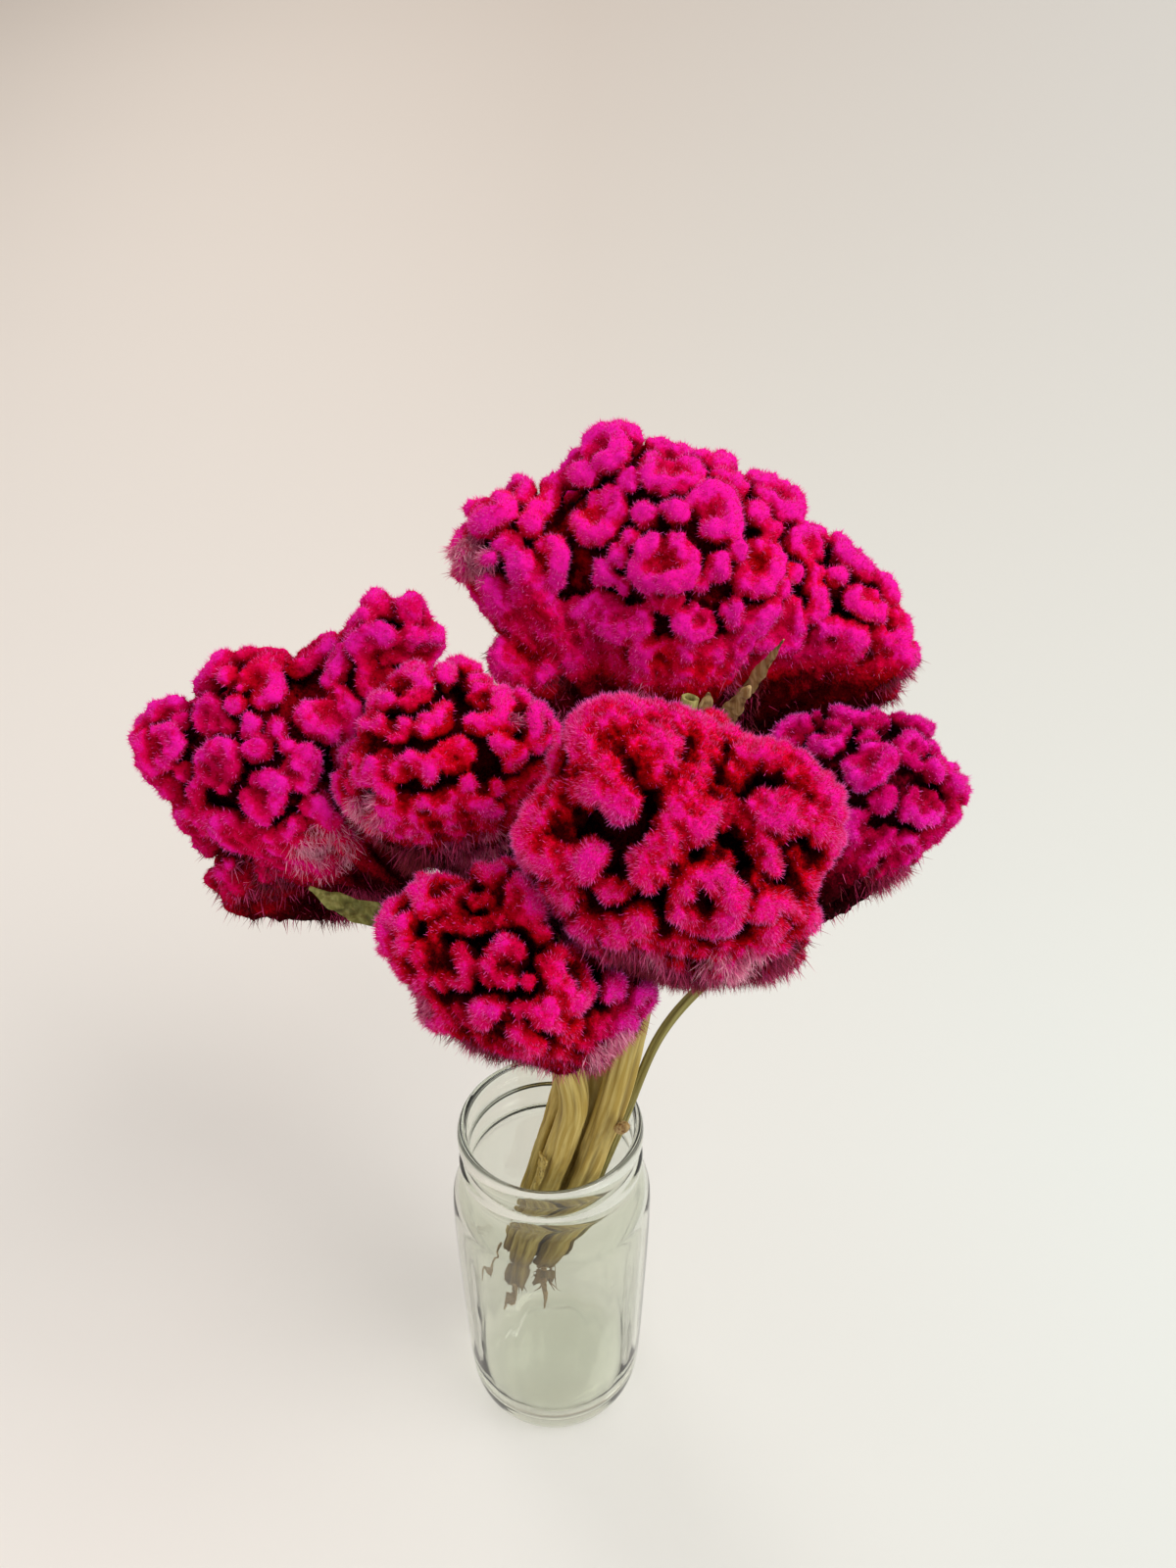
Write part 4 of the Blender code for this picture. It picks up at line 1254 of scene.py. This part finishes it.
def set_tones(head, look):
    """Gives each point of a head's skin its tone, its share of purple and its height in the head."""
    points, seed = head.skin[0], look["seed"]
    rise = np.clip(1 - (head.sunk + 0.5 * MM) / (0.8 * look["core"] * MM), 0, 1)
    open_here = np.clip((head.open - 0.42) / 0.42, 0, 1)
    open_wide = np.clip((head.open_wide - 0.42) / 0.36, 0, 1)
    patch = ripple(points, PATCHES, seed + 5) * 0.05
    patch += ripple(points, FINE_PATCHES, seed + 6) * 0.035
    height = RISE_WEIGHT * rise + OPEN_WEIGHT * open_here + WIDE_WEIGHT * open_wide + patch
    rank = np.argsort(np.argsort(height)) / len(height)
    along = (points - head.low_box) / (head.high_box - head.low_box)
    head.up_share = along[:, 2]
    # shade darkens the lower part of each head, a painted shade under it.
    shade = np.clip((head.up_share + 0.02) / 0.26, 0.16, 1)
    outside = np.clip((-head.sunk - 2 * MM) / (3 * MM), 0, 1)
    rank = np.clip((rank - look["gloom"]) / (1 - look["gloom"]), 0, 1)
    tone = np.interp(rank, TONE_RANKS, TONE_STEPS) * shade * look["lift"]
    head.tone = np.clip(tone * (1 - FUNNEL_SHADE * outside), 0, 1)
    blush = ripple(points, BLUSHES, seed + 9) * 0.16
    blush += ripple(points, FINE_BLUSHES, seed + 10) * 0.08
    edge = look["violet"] * np.clip((along[:, 0] - 0.68) / 0.24, 0, 1)
    head.purple = np.clip(look["purple"] + blush + edge + 0.55 * (head.tone - 0.55), 0.0, 1)


print("darkest fifth of a skin gets a tone below", TONE_STEPS[1])

# %% Pile, chaff and tufts of a head
UNDER_CHAFF = 6 * MM
UNDER_PALENESS = 0.26
TUFT_DENSITY = 22
TUFT_CLUMPS = 7 * MM
# One scale of chaff to this many of pile.
PILE_TO_CHAFF = 14


def plant(head, look):
    """Grows the pile, the maroon chaff under the head and its tufts."""
    points, normals = head.skin[0], head.skin[2]
    node, seed, slot = head.node, look["seed"], look["slot"]
    grow_pile(node + "_pile", head, look["pile"], look["length"] * MM, seed + 3)
    under = np.clip((0.30 - head.up_share) / 0.15, 0, 1) * np.clip(0.45 - normals[:, 2], 0, 1)
    patches = np.clip(ripple(points, PATCHES, seed + 8) * 1.6 - 0.1, 0.05, 1)
    grow_chaff(node + "_chaff", head, under * patches, look["pile"] // PILE_TO_CHAFF, seed + 7,
               UNDER_CHAFF, UNDER_PALENESS)
    for number, (across, up, reach, tall, pale) in enumerate(look["tufts"]):
        middle = seen_point(head, (across, up))
        near = np.clip(1.2 - np.linalg.norm(points - middle, axis=1) / (reach * MM), 0, 1)
        near *= np.clip(0.4 + 0.9 * ripple(points, TUFT_CLUMPS, seed + 30 + number), 0.03, 1)
        grow_chaff(f"{node}_tuft_{number}", head, near, int(TUFT_DENSITY * reach**2),
                   seed + 20 + number, tall * MM, pale)


print("tufts in all:", sum(len(look.get("tufts", ())) for look in HEADS.values()))


# %% Dressing all six heads
def dress_head(node, look):
    """Carves one head along its crest lines, gives it its tones and grows its pile."""
    head = Head(node, look["core"] * MM)
    head.outline = outline_box(node)
    lines = carve(head, look, np.random.default_rng(look["seed"]))
    head.skin = skin_of(head, look["seed"])
    set_tones(head, look)
    points, faces = head.skin[:2]
    piece = add_mesh(node + "_crest", points, faces, VELVET_SKIN, (node,))
    set_attribute(piece, "tone", head.tone)
    set_attribute(piece, "purple", head.purple)
    plant(head, look)
    print(node, "folds", lines, "faces", len(faces), "tones",
          np.percentile(head.tone, [5, 50, 95]).round(2))


for node, differences in HEADS.items():
    dress_head(node, {**USUAL, **differences})

# %% [markdown]
# ## Stems
# A dried cockscomb stem is straw-coloured, ribbed and a little crushed. Its middle line is read
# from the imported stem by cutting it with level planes. A new tube is then swept along that line,
# and long ripples press furrows into it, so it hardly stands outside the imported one. A bump map
# alone would leave its edge smooth, and the edge is what a viewer sees of a thin stem.

# %% The dry grain group
GRAIN_BROWN = (0.235, 0.135, 0.055)
STREAKS = 700
BLOTCHES = 120


def grain_group():
    """Streaks along a length, from noise stretched along the grain, with a dark share on stains and a
    painted shade in the furrows.
    """
    group = bpy.data.node_groups.new("dry grain", "ShaderNodeTree")
    for name, kind in (("Place", "NodeSocketVector"), ("Shade and mottle", "NodeSocketFloat"),
                       ("Brown", "NodeSocketFloat"), ("Dark", "NodeSocketColor"),
                       ("Main", "NodeSocketColor"), ("Light", "NodeSocketColor")):
        group.interface.new_socket(name=name, in_out="INPUT", socket_type=kind)
    group.interface.new_socket(name="Color", in_out="OUTPUT", socket_type="NodeSocketColor")
    group.interface.new_socket(name="Height", in_out="OUTPUT", socket_type="NodeSocketFloat")
    start = group.nodes.new("NodeGroupInput")
    end = group.nodes.new("NodeGroupOutput")
    place = start.outputs["Place"]
    streak = noise_node(group, STREAKS, 4.0, 0.6, (1, 1, 0.05), place)
    blotch = noise_node(group, BLOTCHES, 3.0, 0.6, (1, 1, 0.3), place)
    light = share_between(group, streak, 0.42, 0.66)
    colour = mix_colour(group, light, start.outputs["Main"], start.outputs["Light"])
    brown = math_node(group, "MULTIPLY", start.outputs["Brown"], 0.8)
    colour = mix_colour(group, brown, colour, GRAIN_BROWN)
    stain = share_between(group, blotch, 0.55, 0.80)
    dark = math_node(group, "MAXIMUM", stain, start.outputs["Shade and mottle"])
    dark = math_node(group, "MULTIPLY", dark, 0.8, clamp=True)
    group.links.new(mix_colour(group, dark, colour, start.outputs["Dark"]), end.inputs["Color"])
    group.links.new(math_node(group, "SUBTRACT", streak, dark), end.inputs["Height"])
    return group


GRAIN = grain_group()
print("grain group inputs:", [s.name for s in GRAIN.interface.items_tree if s.in_out == "INPUT"])

# %% Straw, leaf and bark finishes
GRAIN_RELIEF = 0.5 * MM


def dry_material(name, dark, main, light):
    """A dry plant finish from the grain group with three colours of its own."""
    material, tree, shader = new_material(name)
    group = add_node(tree, "ShaderNodeGroup", node_tree=GRAIN)
    tree.links.new(attribute_node(tree, "shade_and_mottle"), group.inputs["Shade and mottle"])
    tree.links.new(attribute_node(tree, "brown"), group.inputs["Brown"])
    tree.links.new(attribute_node(tree, "grain", "Vector"), group.inputs["Place"])
    for key, colour in (("Dark", dark), ("Main", main), ("Light", light)):
        group.inputs[key].default_value = (*colour, 1)
    tree.links.new(group.outputs["Color"], shader.inputs["Base Color"])
    bump = bump_node(tree, group.outputs["Height"], GRAIN_RELIEF, 0.7)
    tree.links.new(bump, shader.inputs["Normal"])
    shader.inputs["Roughness"].default_value = 0.75
    shader.inputs["Specular IOR Level"].default_value = 0.3
    return material


STRAW = dry_material("straw stem", (0.12, 0.07, 0.015), (0.45, 0.31, 0.065), (0.67, 0.53, 0.18))
OLIVE = dry_material("olive stem", (0.08, 0.06, 0.012), (0.24, 0.20, 0.05), (0.42, 0.38, 0.13))
DRY_LEAF = dry_material("dry leaf", (0.13, 0.03, 0.012), (0.36, 0.22, 0.075), (0.64, 0.49, 0.24))
GREEN_LEAF = dry_material("green leaf", (0.06, 0.055, 0.012), (0.19, 0.185, 0.04), (0.36, 0.36, 0.11))
BARK = dry_material("brown bark", (0.09, 0.05, 0.018), (0.30, 0.19, 0.08), (0.50, 0.36, 0.18))
print("dry finishes use the grain group", GRAIN.users, "times")


# %% Middle line of a packed stem
def spine(node, stations):
    """Middles and the usual radius of a packed stem, where level planes cut its mesh."""
    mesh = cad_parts[node].data
    points = np.array([v.co for v in mesh.vertices])
    first, last = points[np.array([e.vertices for e in mesh.edges])].transpose(1, 0, 2)
    low, high = points[:, 2].min(), points[:, 2].max()
    rings = []
    for z in np.linspace(low, high, stations + 2)[1:-1]:
        cut = (first[:, 2] - z) * (last[:, 2] - z) < 0
        share = (z - first[cut, 2]) / (last[cut, 2] - first[cut, 2])
        rings.append(first[cut] + share[:, None] * (last[cut] - first[cut]))
    middles = np.array([ring.mean(0) for ring in rings])
    for _ in range(4):
        middles[1:-1] = 0.5 * middles[1:-1] + 0.25 * (middles[:-2] + middles[2:])
    ways = unit(np.gradient(middles, axis=0))
    sizes = []
    for middle, way, ring in zip(middles, ways, rings):
        away = ring - middle
        away = away - np.outer(away @ way, way)
        sizes.append(np.linalg.norm(away, axis=1).mean())
    return middles, np.median(sizes)


print("front stem's radius in mm:", round(spine("stem_front", 60)[1] / MM, 2))


# %% Faces of a closed tube
def tube_faces(rings, sides):
    """Faces round rings of points, closed by a point before the first and one after the last."""
    around = [(k, (k + 1) % sides) for k in range(sides)]
    faces = [(0, 1 + after, 1 + k) for k, after in around]
    for ring in range(rings - 1):
        base = 1 + ring * sides
        faces += [(base + k, base + after, base + sides + after, base + sides + k)
                  for k, after in around]
    last = 1 + (rings - 1) * sides
    return faces + [(last + k, last + after, last + sides) for k, after in around]


print("faces of a tube with 2 rings of 4:", len(tube_faces(2, 4)))

# %% [markdown]
# ## Torn ends
# A dry stem that is broken by hand ends in a bunch of fibres. Each fibre is a thin three-sided
# strand that bends and tapers. Curves with a bevel would do too, but plain faces export as they
# are, and a strand needs only a dozen of them.

# %% Torn fibres of a cut end
FIBRE_STEPS = 5
FIBRE_SIDES = 3
FIBRE_BROWN = 0.6
FIBRES_TO_A_MM = 7


def shreds(name, ring, middle, way, radius, seed):
    """Thin torn fibres that hang from a cut end, each a tapering three-sided strand."""
    rng = np.random.default_rng(seed)
    verts, faces, grain = [], [], []
    for count in range(int(FIBRES_TO_A_MM * radius / MM)):
        root = ring[rng.integers(len(ring))]
        out = unit(root - middle)
        root = middle + (root - middle) * rng.uniform(0.6, 0.97)
        aim = unit(-way + 0.45 * out * rng.uniform(0, 1) + rng.normal(size=3) * 0.2)
        bend = rng.normal(size=3) * 0.22
        length = radius * rng.uniform(0.35, 1.0) * rng.uniform(0.6, 1.5)
        width = radius * rng.uniform(0.05, 0.17)
        side = unit(np.cross(aim, out))
        first = len(verts)
        for step in range(FIBRE_STEPS + 1):
            share = step / FIBRE_STEPS
            place = root + aim * length * share + bend * length * share**2
            thick = width * (1 - 0.85 * share)
            for turn in range(FIBRE_SIDES):
                angle = 2 * math.pi * turn / FIBRE_SIDES
                cosine, sine = math.cos(angle), math.sin(angle)
                verts.append(place + thick * (side * cosine + 0.4 * out * sine))
                grain.append((cosine * thick, sine * thick, share * length + count))
        for step in range(FIBRE_STEPS):
            base = first + FIBRE_SIDES * step
            for turn in range(FIBRE_SIDES):
                one, two = base + turn, base + (turn + 1) % FIBRE_SIDES
                faces.append((one, two, two + FIBRE_SIDES, one + FIBRE_SIDES))
        tip = first + FIBRE_SIDES * FIBRE_STEPS
        faces += [(first + 2, first + 1, first), (tip, tip + 1, tip + 2)]
    piece = add_mesh(name, np.array(verts), faces, BARK, ())
    # On the fibres the dark share is only a random mottle.
    set_attribute(piece, "shade_and_mottle", rng.uniform(0, 0.5, len(verts)))
    set_attribute(piece, "brown", np.ones(len(verts)) * FIBRE_BROWN)
    set_attribute(piece, "grain", grain)


print("fibres on a stem of 5 mm radius:", 5 * FIBRES_TO_A_MM)

# %% Ribs of a stem
STEM_SIDES = 48
# Ribs are ripples read on a round bar of this radius, which moves slowly along the stem.
RIB_BAR = 6 * MM
RIB_DRIFT = 0.07
COARSE_RIBS = 4.0 * MM
FINE_RIBS = 1.6 * MM
RIB_WAVES = 20


def ribs_along(wanted, round_about, seed):
    """How far each point of a tube is pressed in, from 0 to 1, and its spot on the rib bar."""
    spots = np.zeros((len(wanted), STEM_SIDES, 3))
    spots[:, :, :2] = round_about[None] * RIB_BAR
    spots[:, :, 2] = wanted[:, None] * RIB_DRIFT + seed * 0.1
    flat = spots.reshape(-1, 3)
    ribs = ripple(flat, COARSE_RIBS, seed, RIB_WAVES).reshape(len(wanted), -1)
    fine = ripple(flat, FINE_RIBS, seed + 1, RIB_WAVES).reshape(len(wanted), -1)
    return np.clip(0.5 - 0.42 * ribs - 0.16 * fine, 0, 1), spots


print("sides of a stem:", STEM_SIDES)

# %% A ribbed tube for a stem
STEM_PACE = 1.4 * MM
STEM_STATIONS = 60
TORN_LENGTH = 5 * MM
BROWN_LENGTH = 30 * MM
HOLLOW_DEPTH = 3.4 * MM
FRAY_BELOW = 2.5 * MM
# No stem runs along this direction, so it can say where each ring of a stem begins.
RING_START = (0.2, -1, 0.1)


def dress_stem(node, material, seed, furrow_depth, splay):
    """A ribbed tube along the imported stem's middle line, with a torn lower end."""
    middles, radius = spine(node, STEM_STATIONS)
    low, _ = corners_of(node)
    walked = np.concatenate([[0], np.cumsum(np.linalg.norm(np.diff(middles, axis=0), axis=1))])
    wanted = np.arange(0, walked[-1], STEM_PACE)
    path = np.column_stack([np.interp(wanted, walked, middles[:, k]) for k in range(3)])
    ways = unit(np.gradient(path, axis=0))
    turns = 2 * math.pi * np.arange(STEM_SIDES) / STEM_SIDES
    across = unit(np.cross(ways, RING_START))
    other = np.cross(ways, across)
    round_about = np.stack([np.cos(turns), np.sin(turns)], 1)
    pressed, spots = ribs_along(wanted, round_about, seed)
    size = radius * (1.03 - furrow_depth * pressed)
    torn = np.clip(1 - wanted / TORN_LENGTH, 0, 1)
    size = size * (1 + splay * torn[:, None] ** 2 * (0.4 + 0.6 * np.sin(turns * 5 + seed)))
    points = (path[:, None] + size[:, :, None] * (
        across[:, None] * round_about[None, :, :1] + other[:, None] * round_about[None, :, 1:]))
    ragged = 1.6 * MM * np.sin(turns * 3 + seed) + 1.1 * MM * np.sin(turns * 8 + 2 * seed)
    points = points + (torn[:, None] * ragged)[:, :, None] * ways[:, None]
    points[:, :, 2] = np.maximum(points[:, :, 2], low[2] - FRAY_BELOW)
    hollow = [points[0] * 0.25 + path[0] * 0.75 + ways[0] * 3.0 * MM,
              points[0] * 0.78 + path[0] * 0.22 + ways[0] * 0.5 * MM]
    verts = np.concatenate([[path[0] + ways[0] * HOLLOW_DEPTH], *hollow, *points,
                            [path[-1] + ways[-1] * MM]])
    faces = tube_faces(len(hollow) + len(points), STEM_SIDES)
    piece = add_mesh(node + "_dry", verts, faces, material, (node,))
    inner = 1 + len(hollow) * STEM_SIDES
    brown = np.repeat(np.clip(1.15 - wanted / BROWN_LENGTH, 0, 1), STEM_SIDES)
    # The dark share in the pressed furrows and in the hollow of the torn end is painted shade.
    shade_and_mottle = np.clip(pressed - 0.55, 0, 1) * 1.6
    set_attribute(piece, "shade_and_mottle", [1.0] * inner + shade_and_mottle.ravel().tolist() + [0.5])
    set_attribute(piece, "brown", [1.0] * inner + brown.tolist() + [0.0])
    grain = np.concatenate([verts[:inner] * (1, 1, 0.3), spots.reshape(-1, 3), spots[-1, :1]])
    set_attribute(piece, "grain", grain * (radius / RIB_BAR, radius / RIB_BAR, 1 / RIB_DRIFT))
    shreds(node + "_shreds", points[2], path[0], ways[0], radius, seed)
    print(node, "radius in mm", round(radius / MM, 2), "rings", len(path))


for number, node in enumerate(sorted(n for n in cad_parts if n.startswith("stem_"))):
    if node == "stem_right":
        dress_stem(node, OLIVE, 5 + number, furrow_depth=0.10, splay=0.0)
    else:
        dress_stem(node, STRAW, 5 + number, furrow_depth=0.22, splay=0.10)

# %% [markdown]
# ## Leaves, bark, bud and stub
# These are thin dried things that crumple as they dry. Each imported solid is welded, smoothed by
# subdivision, and then pushed in and out along its normals by ripples of two lengths. Cloth
# simulation could crumple them too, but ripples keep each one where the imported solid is. The
# foot of a leaf is then drawn on to its stem, since the ribbed stem is a little thinner in places.

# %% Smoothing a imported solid
HELD_ANGLE = math.radians(50)


def smooth_copy(node, levels):
    """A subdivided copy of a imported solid's mesh; edges sharper than the held angle stay sharp."""
    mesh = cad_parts[node].data.copy()
    work = bmesh.new()
    work.from_mesh(mesh)
    bmesh.ops.remove_doubles(work, verts=work.verts, dist=1e-6)
    held = work.edges.layers.float.new("crease_edge")
    for edge in work.edges:
        edge[held] = 1.0 if edge.calc_face_angle(0.0) > HELD_ANGLE else 0.0
    work.to_mesh(mesh)
    work.free()
    rough = bpy.data.objects.new(node + "_rough", mesh)
    bpy.context.scene.collection.objects.link(rough)
    smooth = rough.modifiers.new("smooth", "SUBSURF")
    smooth.levels = smooth.render_levels = levels
    shaped = bpy.data.meshes.new_from_object(
        rough.evaluated_get(bpy.context.evaluated_depsgraph_get()))
    bpy.data.objects.remove(rough)
    return shaped


print("faces of the short leaf before:", len(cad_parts["leaf_back_short"].data.polygons))

# %% Drawing a foot on to its stem
FOOT_REACH = 10 * MM
FOOT_SINK = 0.8 * MM


def join_to_stem(points, stem):
    """Pulls the nearest end of a piece on to the dressed stem, and its surroundings less."""
    bark = bpy.data.objects[stem + "_dry"].data
    bark = BVHTree.FromPolygons([v.co for v in bark.vertices], [p.vertices for p in bark.polygons])
    gaps = [bark.find_nearest(Vector(p))[3] for p in points]
    foot = points[np.argmin(gaps)]
    hit = np.array(bark.find_nearest(Vector(foot))[0])
    pull = hit - foot + FOOT_SINK * unit(hit - foot)
    near = np.clip(1 - np.linalg.norm(points - foot, axis=1) / FOOT_REACH, 0, 1) ** 2
    print("gap to", stem, "closed, in mm:", round(min(gaps) / MM, 2))
    return points + near[:, None] * pull


print("a foot's pull fades out over", round(FOOT_REACH / MM), "mm")


# %% Crumpling
def crumple(node, material, levels, push, length, seed, stem):
    """A finer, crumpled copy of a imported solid, whose foot is drawn on to the dressed stem."""
    shaped = smooth_copy(node, levels)
    points = np.array([v.co for v in shaped.vertices])
    normals = np.array([v.normal for v in shaped.vertices])
    wave = ripple(points, length, seed)
    fine = ripple(points, length * 0.35, seed + 1)
    points = points + normals * (push * (wave + 0.35 * fine))[:, None]
    if stem:
        points = join_to_stem(points, stem)
    faces = [tuple(p.vertices) for p in shaped.polygons]
    piece = add_mesh(node + "_dry", points, faces, material, (node,))
    # The dark share in the pushed-in hollows of the crumples is painted shade.
    set_attribute(piece, "shade_and_mottle", np.clip(-0.5 * fine - 0.25 * wave, 0, 1))
    set_attribute(piece, "brown", np.zeros(len(points)))
    set_attribute(piece, "grain", points * (1, 1, 0.6))
    print(node, "faces", len(faces))


print("thin dry nodes:", sorted(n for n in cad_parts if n.split("_")[0] in ("leaf", "bark")))

# %% The dry pieces
# Node, finish, slot, levels of subdivision, push and length of its ripples (mm), seed, its stem.
DRY_PIECES = [
    ("leaf_back_short", DRY_LEAF, "dry_leaf", 3, 0.45, 7, 80, "stem_back"),
    ("leaf_back_long", DRY_LEAF, "dry_leaf", 3, 0.45, 7, 81, "stem_back"),
    ("leaf_back_thin", DRY_LEAF, "dry_leaf", 3, 0.45, 7, 82, "stem_back"),
    ("leaf_under_left", GREEN_LEAF, "green_stem", 3, 0.4, 8, 90, "stem_left"),
    ("cut_stub", OLIVE, "green_stem", 2, 0.12, 5, 91, "stem_back"),
    ("side_bud", DRY_LEAF, "dry_leaf", 3, 0.2, 3, 92, "stem_front"),
    ("bark_strip_mouth", STRAW, "brown_bark", 3, 0.15, 3, 94, None),
    ("bark_strip_left", BARK, "brown_bark", 3, 0.15, 3, 95, None),
    ("bark_strip_foot", BARK, "brown_bark", 3, 0.15, 3, 96, None),
    ("bark_strip_inner", BARK, "brown_bark", 3, 0.15, 3, 97, None),
]
for node, finish, slot, levels, push, length, seed, stem in DRY_PIECES:
    crumple(node, finish, levels, push * MM, length * MM, seed, stem)

# %% [markdown]
# ## The jar
# A pressed glass jar is a turned shape: one outline carried round an axis. The outline has few
# corners, and each corner is cut twice to round it. Very shallow upright panels and a ring of fine
# knurls under the heel are pressed into it, and they are what bends the light in such a jar.
# The glass lets light through to its shadow, since real glass throws only a faint one.

# %% Glass
GLASS_DEEP = (0.825, 0.85, 0.775)
GLASS_CLEAR = (0.855, 0.87, 0.805)
# This share of a shadow's light gets through the glass.
SHADOW_LIGHT = 0.78


def glass_material():
    """Clear glass, faintly green and wavy, with a light shadow."""
    material, tree, shader = new_material("pressed glass")
    wave = noise_node(tree, 60, 1.0)
    tree.links.new(bump_node(tree, wave, 0.6 * MM, 0.12), shader.inputs["Normal"])
    colour = mix_colour(tree, noise_node(tree, 25, 2.0), GLASS_DEEP, GLASS_CLEAR)
    tree.links.new(colour, shader.inputs["Base Color"])
    shadow = add_node(tree, "ShaderNodeLightPath").outputs["Is Shadow Ray"]
    alpha = math_node(tree, "SUBTRACT", 1.0, math_node(tree, "MULTIPLY", shadow, SHADOW_LIGHT))
    tree.links.new(alpha, shader.inputs["Alpha"])
    shader.inputs["Roughness"].default_value = 0.015
    shader.inputs["IOR"].default_value = 1.45
    shader.inputs["Transmission Weight"].default_value = 1.0
    return material


GLASS = glass_material()
print("glass nodes:", len(GLASS.node_tree.nodes))

# %% The jar's outline
# Outline of the glass, as radius and height in millimetres: outside upwards, then inside down.
JAR_OUTSIDE = [
    (0, 1.8), (14, 1.6), (20, 1.1), (23.4, 0.1), (26.8, 0.0), (30.2, 2.6), (32.3, 8.5), (33.0, 20),
    (34.0, 50), (34.9, 80), (35.0, 98), (34.4, 103), (31.6, 108.2), (30.3, 110.6), (30.2, 113.6),
    (31.5, 115.4), (31.9, 117.5), (31.5, 119.6), (30.2, 121.3), (30.2, 125.2), (31.6, 126.2),
    (31.9, 129.6), (31.3, 132.2), (30.1, 133.1),
]
JAR_INSIDE = [
    (28.9, 132.4), (28.2, 130), (28.2, 113.6), (28.4, 110.1), (29.8, 107.2), (32.4, 102.4),
    (32.9, 98), (32.8, 80), (31.9, 50), (30.9, 20), (29.4, 11), (25.4, 7), (19, 5.7), (9, 5.2),
    (0, 5.1),
]

def cut_corners(outline, rounds):
    """Rounds an open outline: each corner becomes two points, a quarter of the way off it."""
    for _ in range(rounds):
        first, last = outline[:-1], outline[1:]
        cut = np.stack([0.75 * first + 0.25 * last, 0.25 * first + 0.75 * last], 1).reshape(-1, 2)
        outline = np.concatenate([outline[:1], cut[1:-1], outline[-1:]])
    return outline


low, high = corners_of("jar")
outline = cut_corners(np.array(JAR_OUTSIDE + JAR_INSIDE, float), 2) * MM
outline[:, 1] *= (high[2] - low[2]) / outline[:, 1].max()
print("outline points after rounding:", len(outline), "height in mm:", round(high[2] / MM, 1))

# %% Turning the jar
JAR_TURNS = 144
JAR_PANELS = 12
JAR_KNURLS = 72
PRESSED_DEPTH = 0.22 * MM
# The panels fade out above the first height and below the second, over the fade's length.
PANELS_FROM, PANELS_TO, PANELS_FADE = 12 * MM, 98 * MM, 10 * MM


def build_jar(outline):
    """Carries the outline round its axis and presses the panels and knurls into the outside."""
    turns = 2 * math.pi * np.arange(JAR_TURNS) / JAR_TURNS
    widest = np.argmax(outline[:, 1])
    rings = []
    for index, (r, z) in enumerate(outline[1:-1], 1):
        outer = index <= widest
        on_body = np.clip((z - PANELS_FROM) / PANELS_FADE, 0, 1)
        on_body = on_body * np.clip((PANELS_TO - z) / PANELS_FADE, 0, 1)
        panel = PRESSED_DEPTH * on_body * np.cos(JAR_PANELS * turns) if outer else 0 * turns
        heel = outer and 20 * MM < r < 31 * MM and z < 3 * MM
        knurl = PRESSED_DEPTH * np.clip(np.cos(JAR_KNURLS * turns), 0, 1) if heel else 0 * turns
        radius = r - np.abs(panel) * 0.6 + panel * 0.4
        rings.append(np.stack([radius * np.cos(turns), radius * np.sin(turns), z + knurl], 1))
    verts = np.concatenate([[(0, 0, outline[0][1])], *rings, [(0, 0, outline[-1][1])]])
    faces = tube_faces(len(rings), JAR_TURNS)
    add_mesh("jar_glass", verts, faces, GLASS, ("jar",))
    print("jar faces", len(faces), "top in mm", round(verts[:, 2].max() / MM, 2))


build_jar(outline)

# %% [markdown]
# ## Measuring the result
# The dressed bunch may be a little larger than the imported one, since pile stands on its crests.
# Its box is measured before the scene is finished.

# %% Measure
low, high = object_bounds()
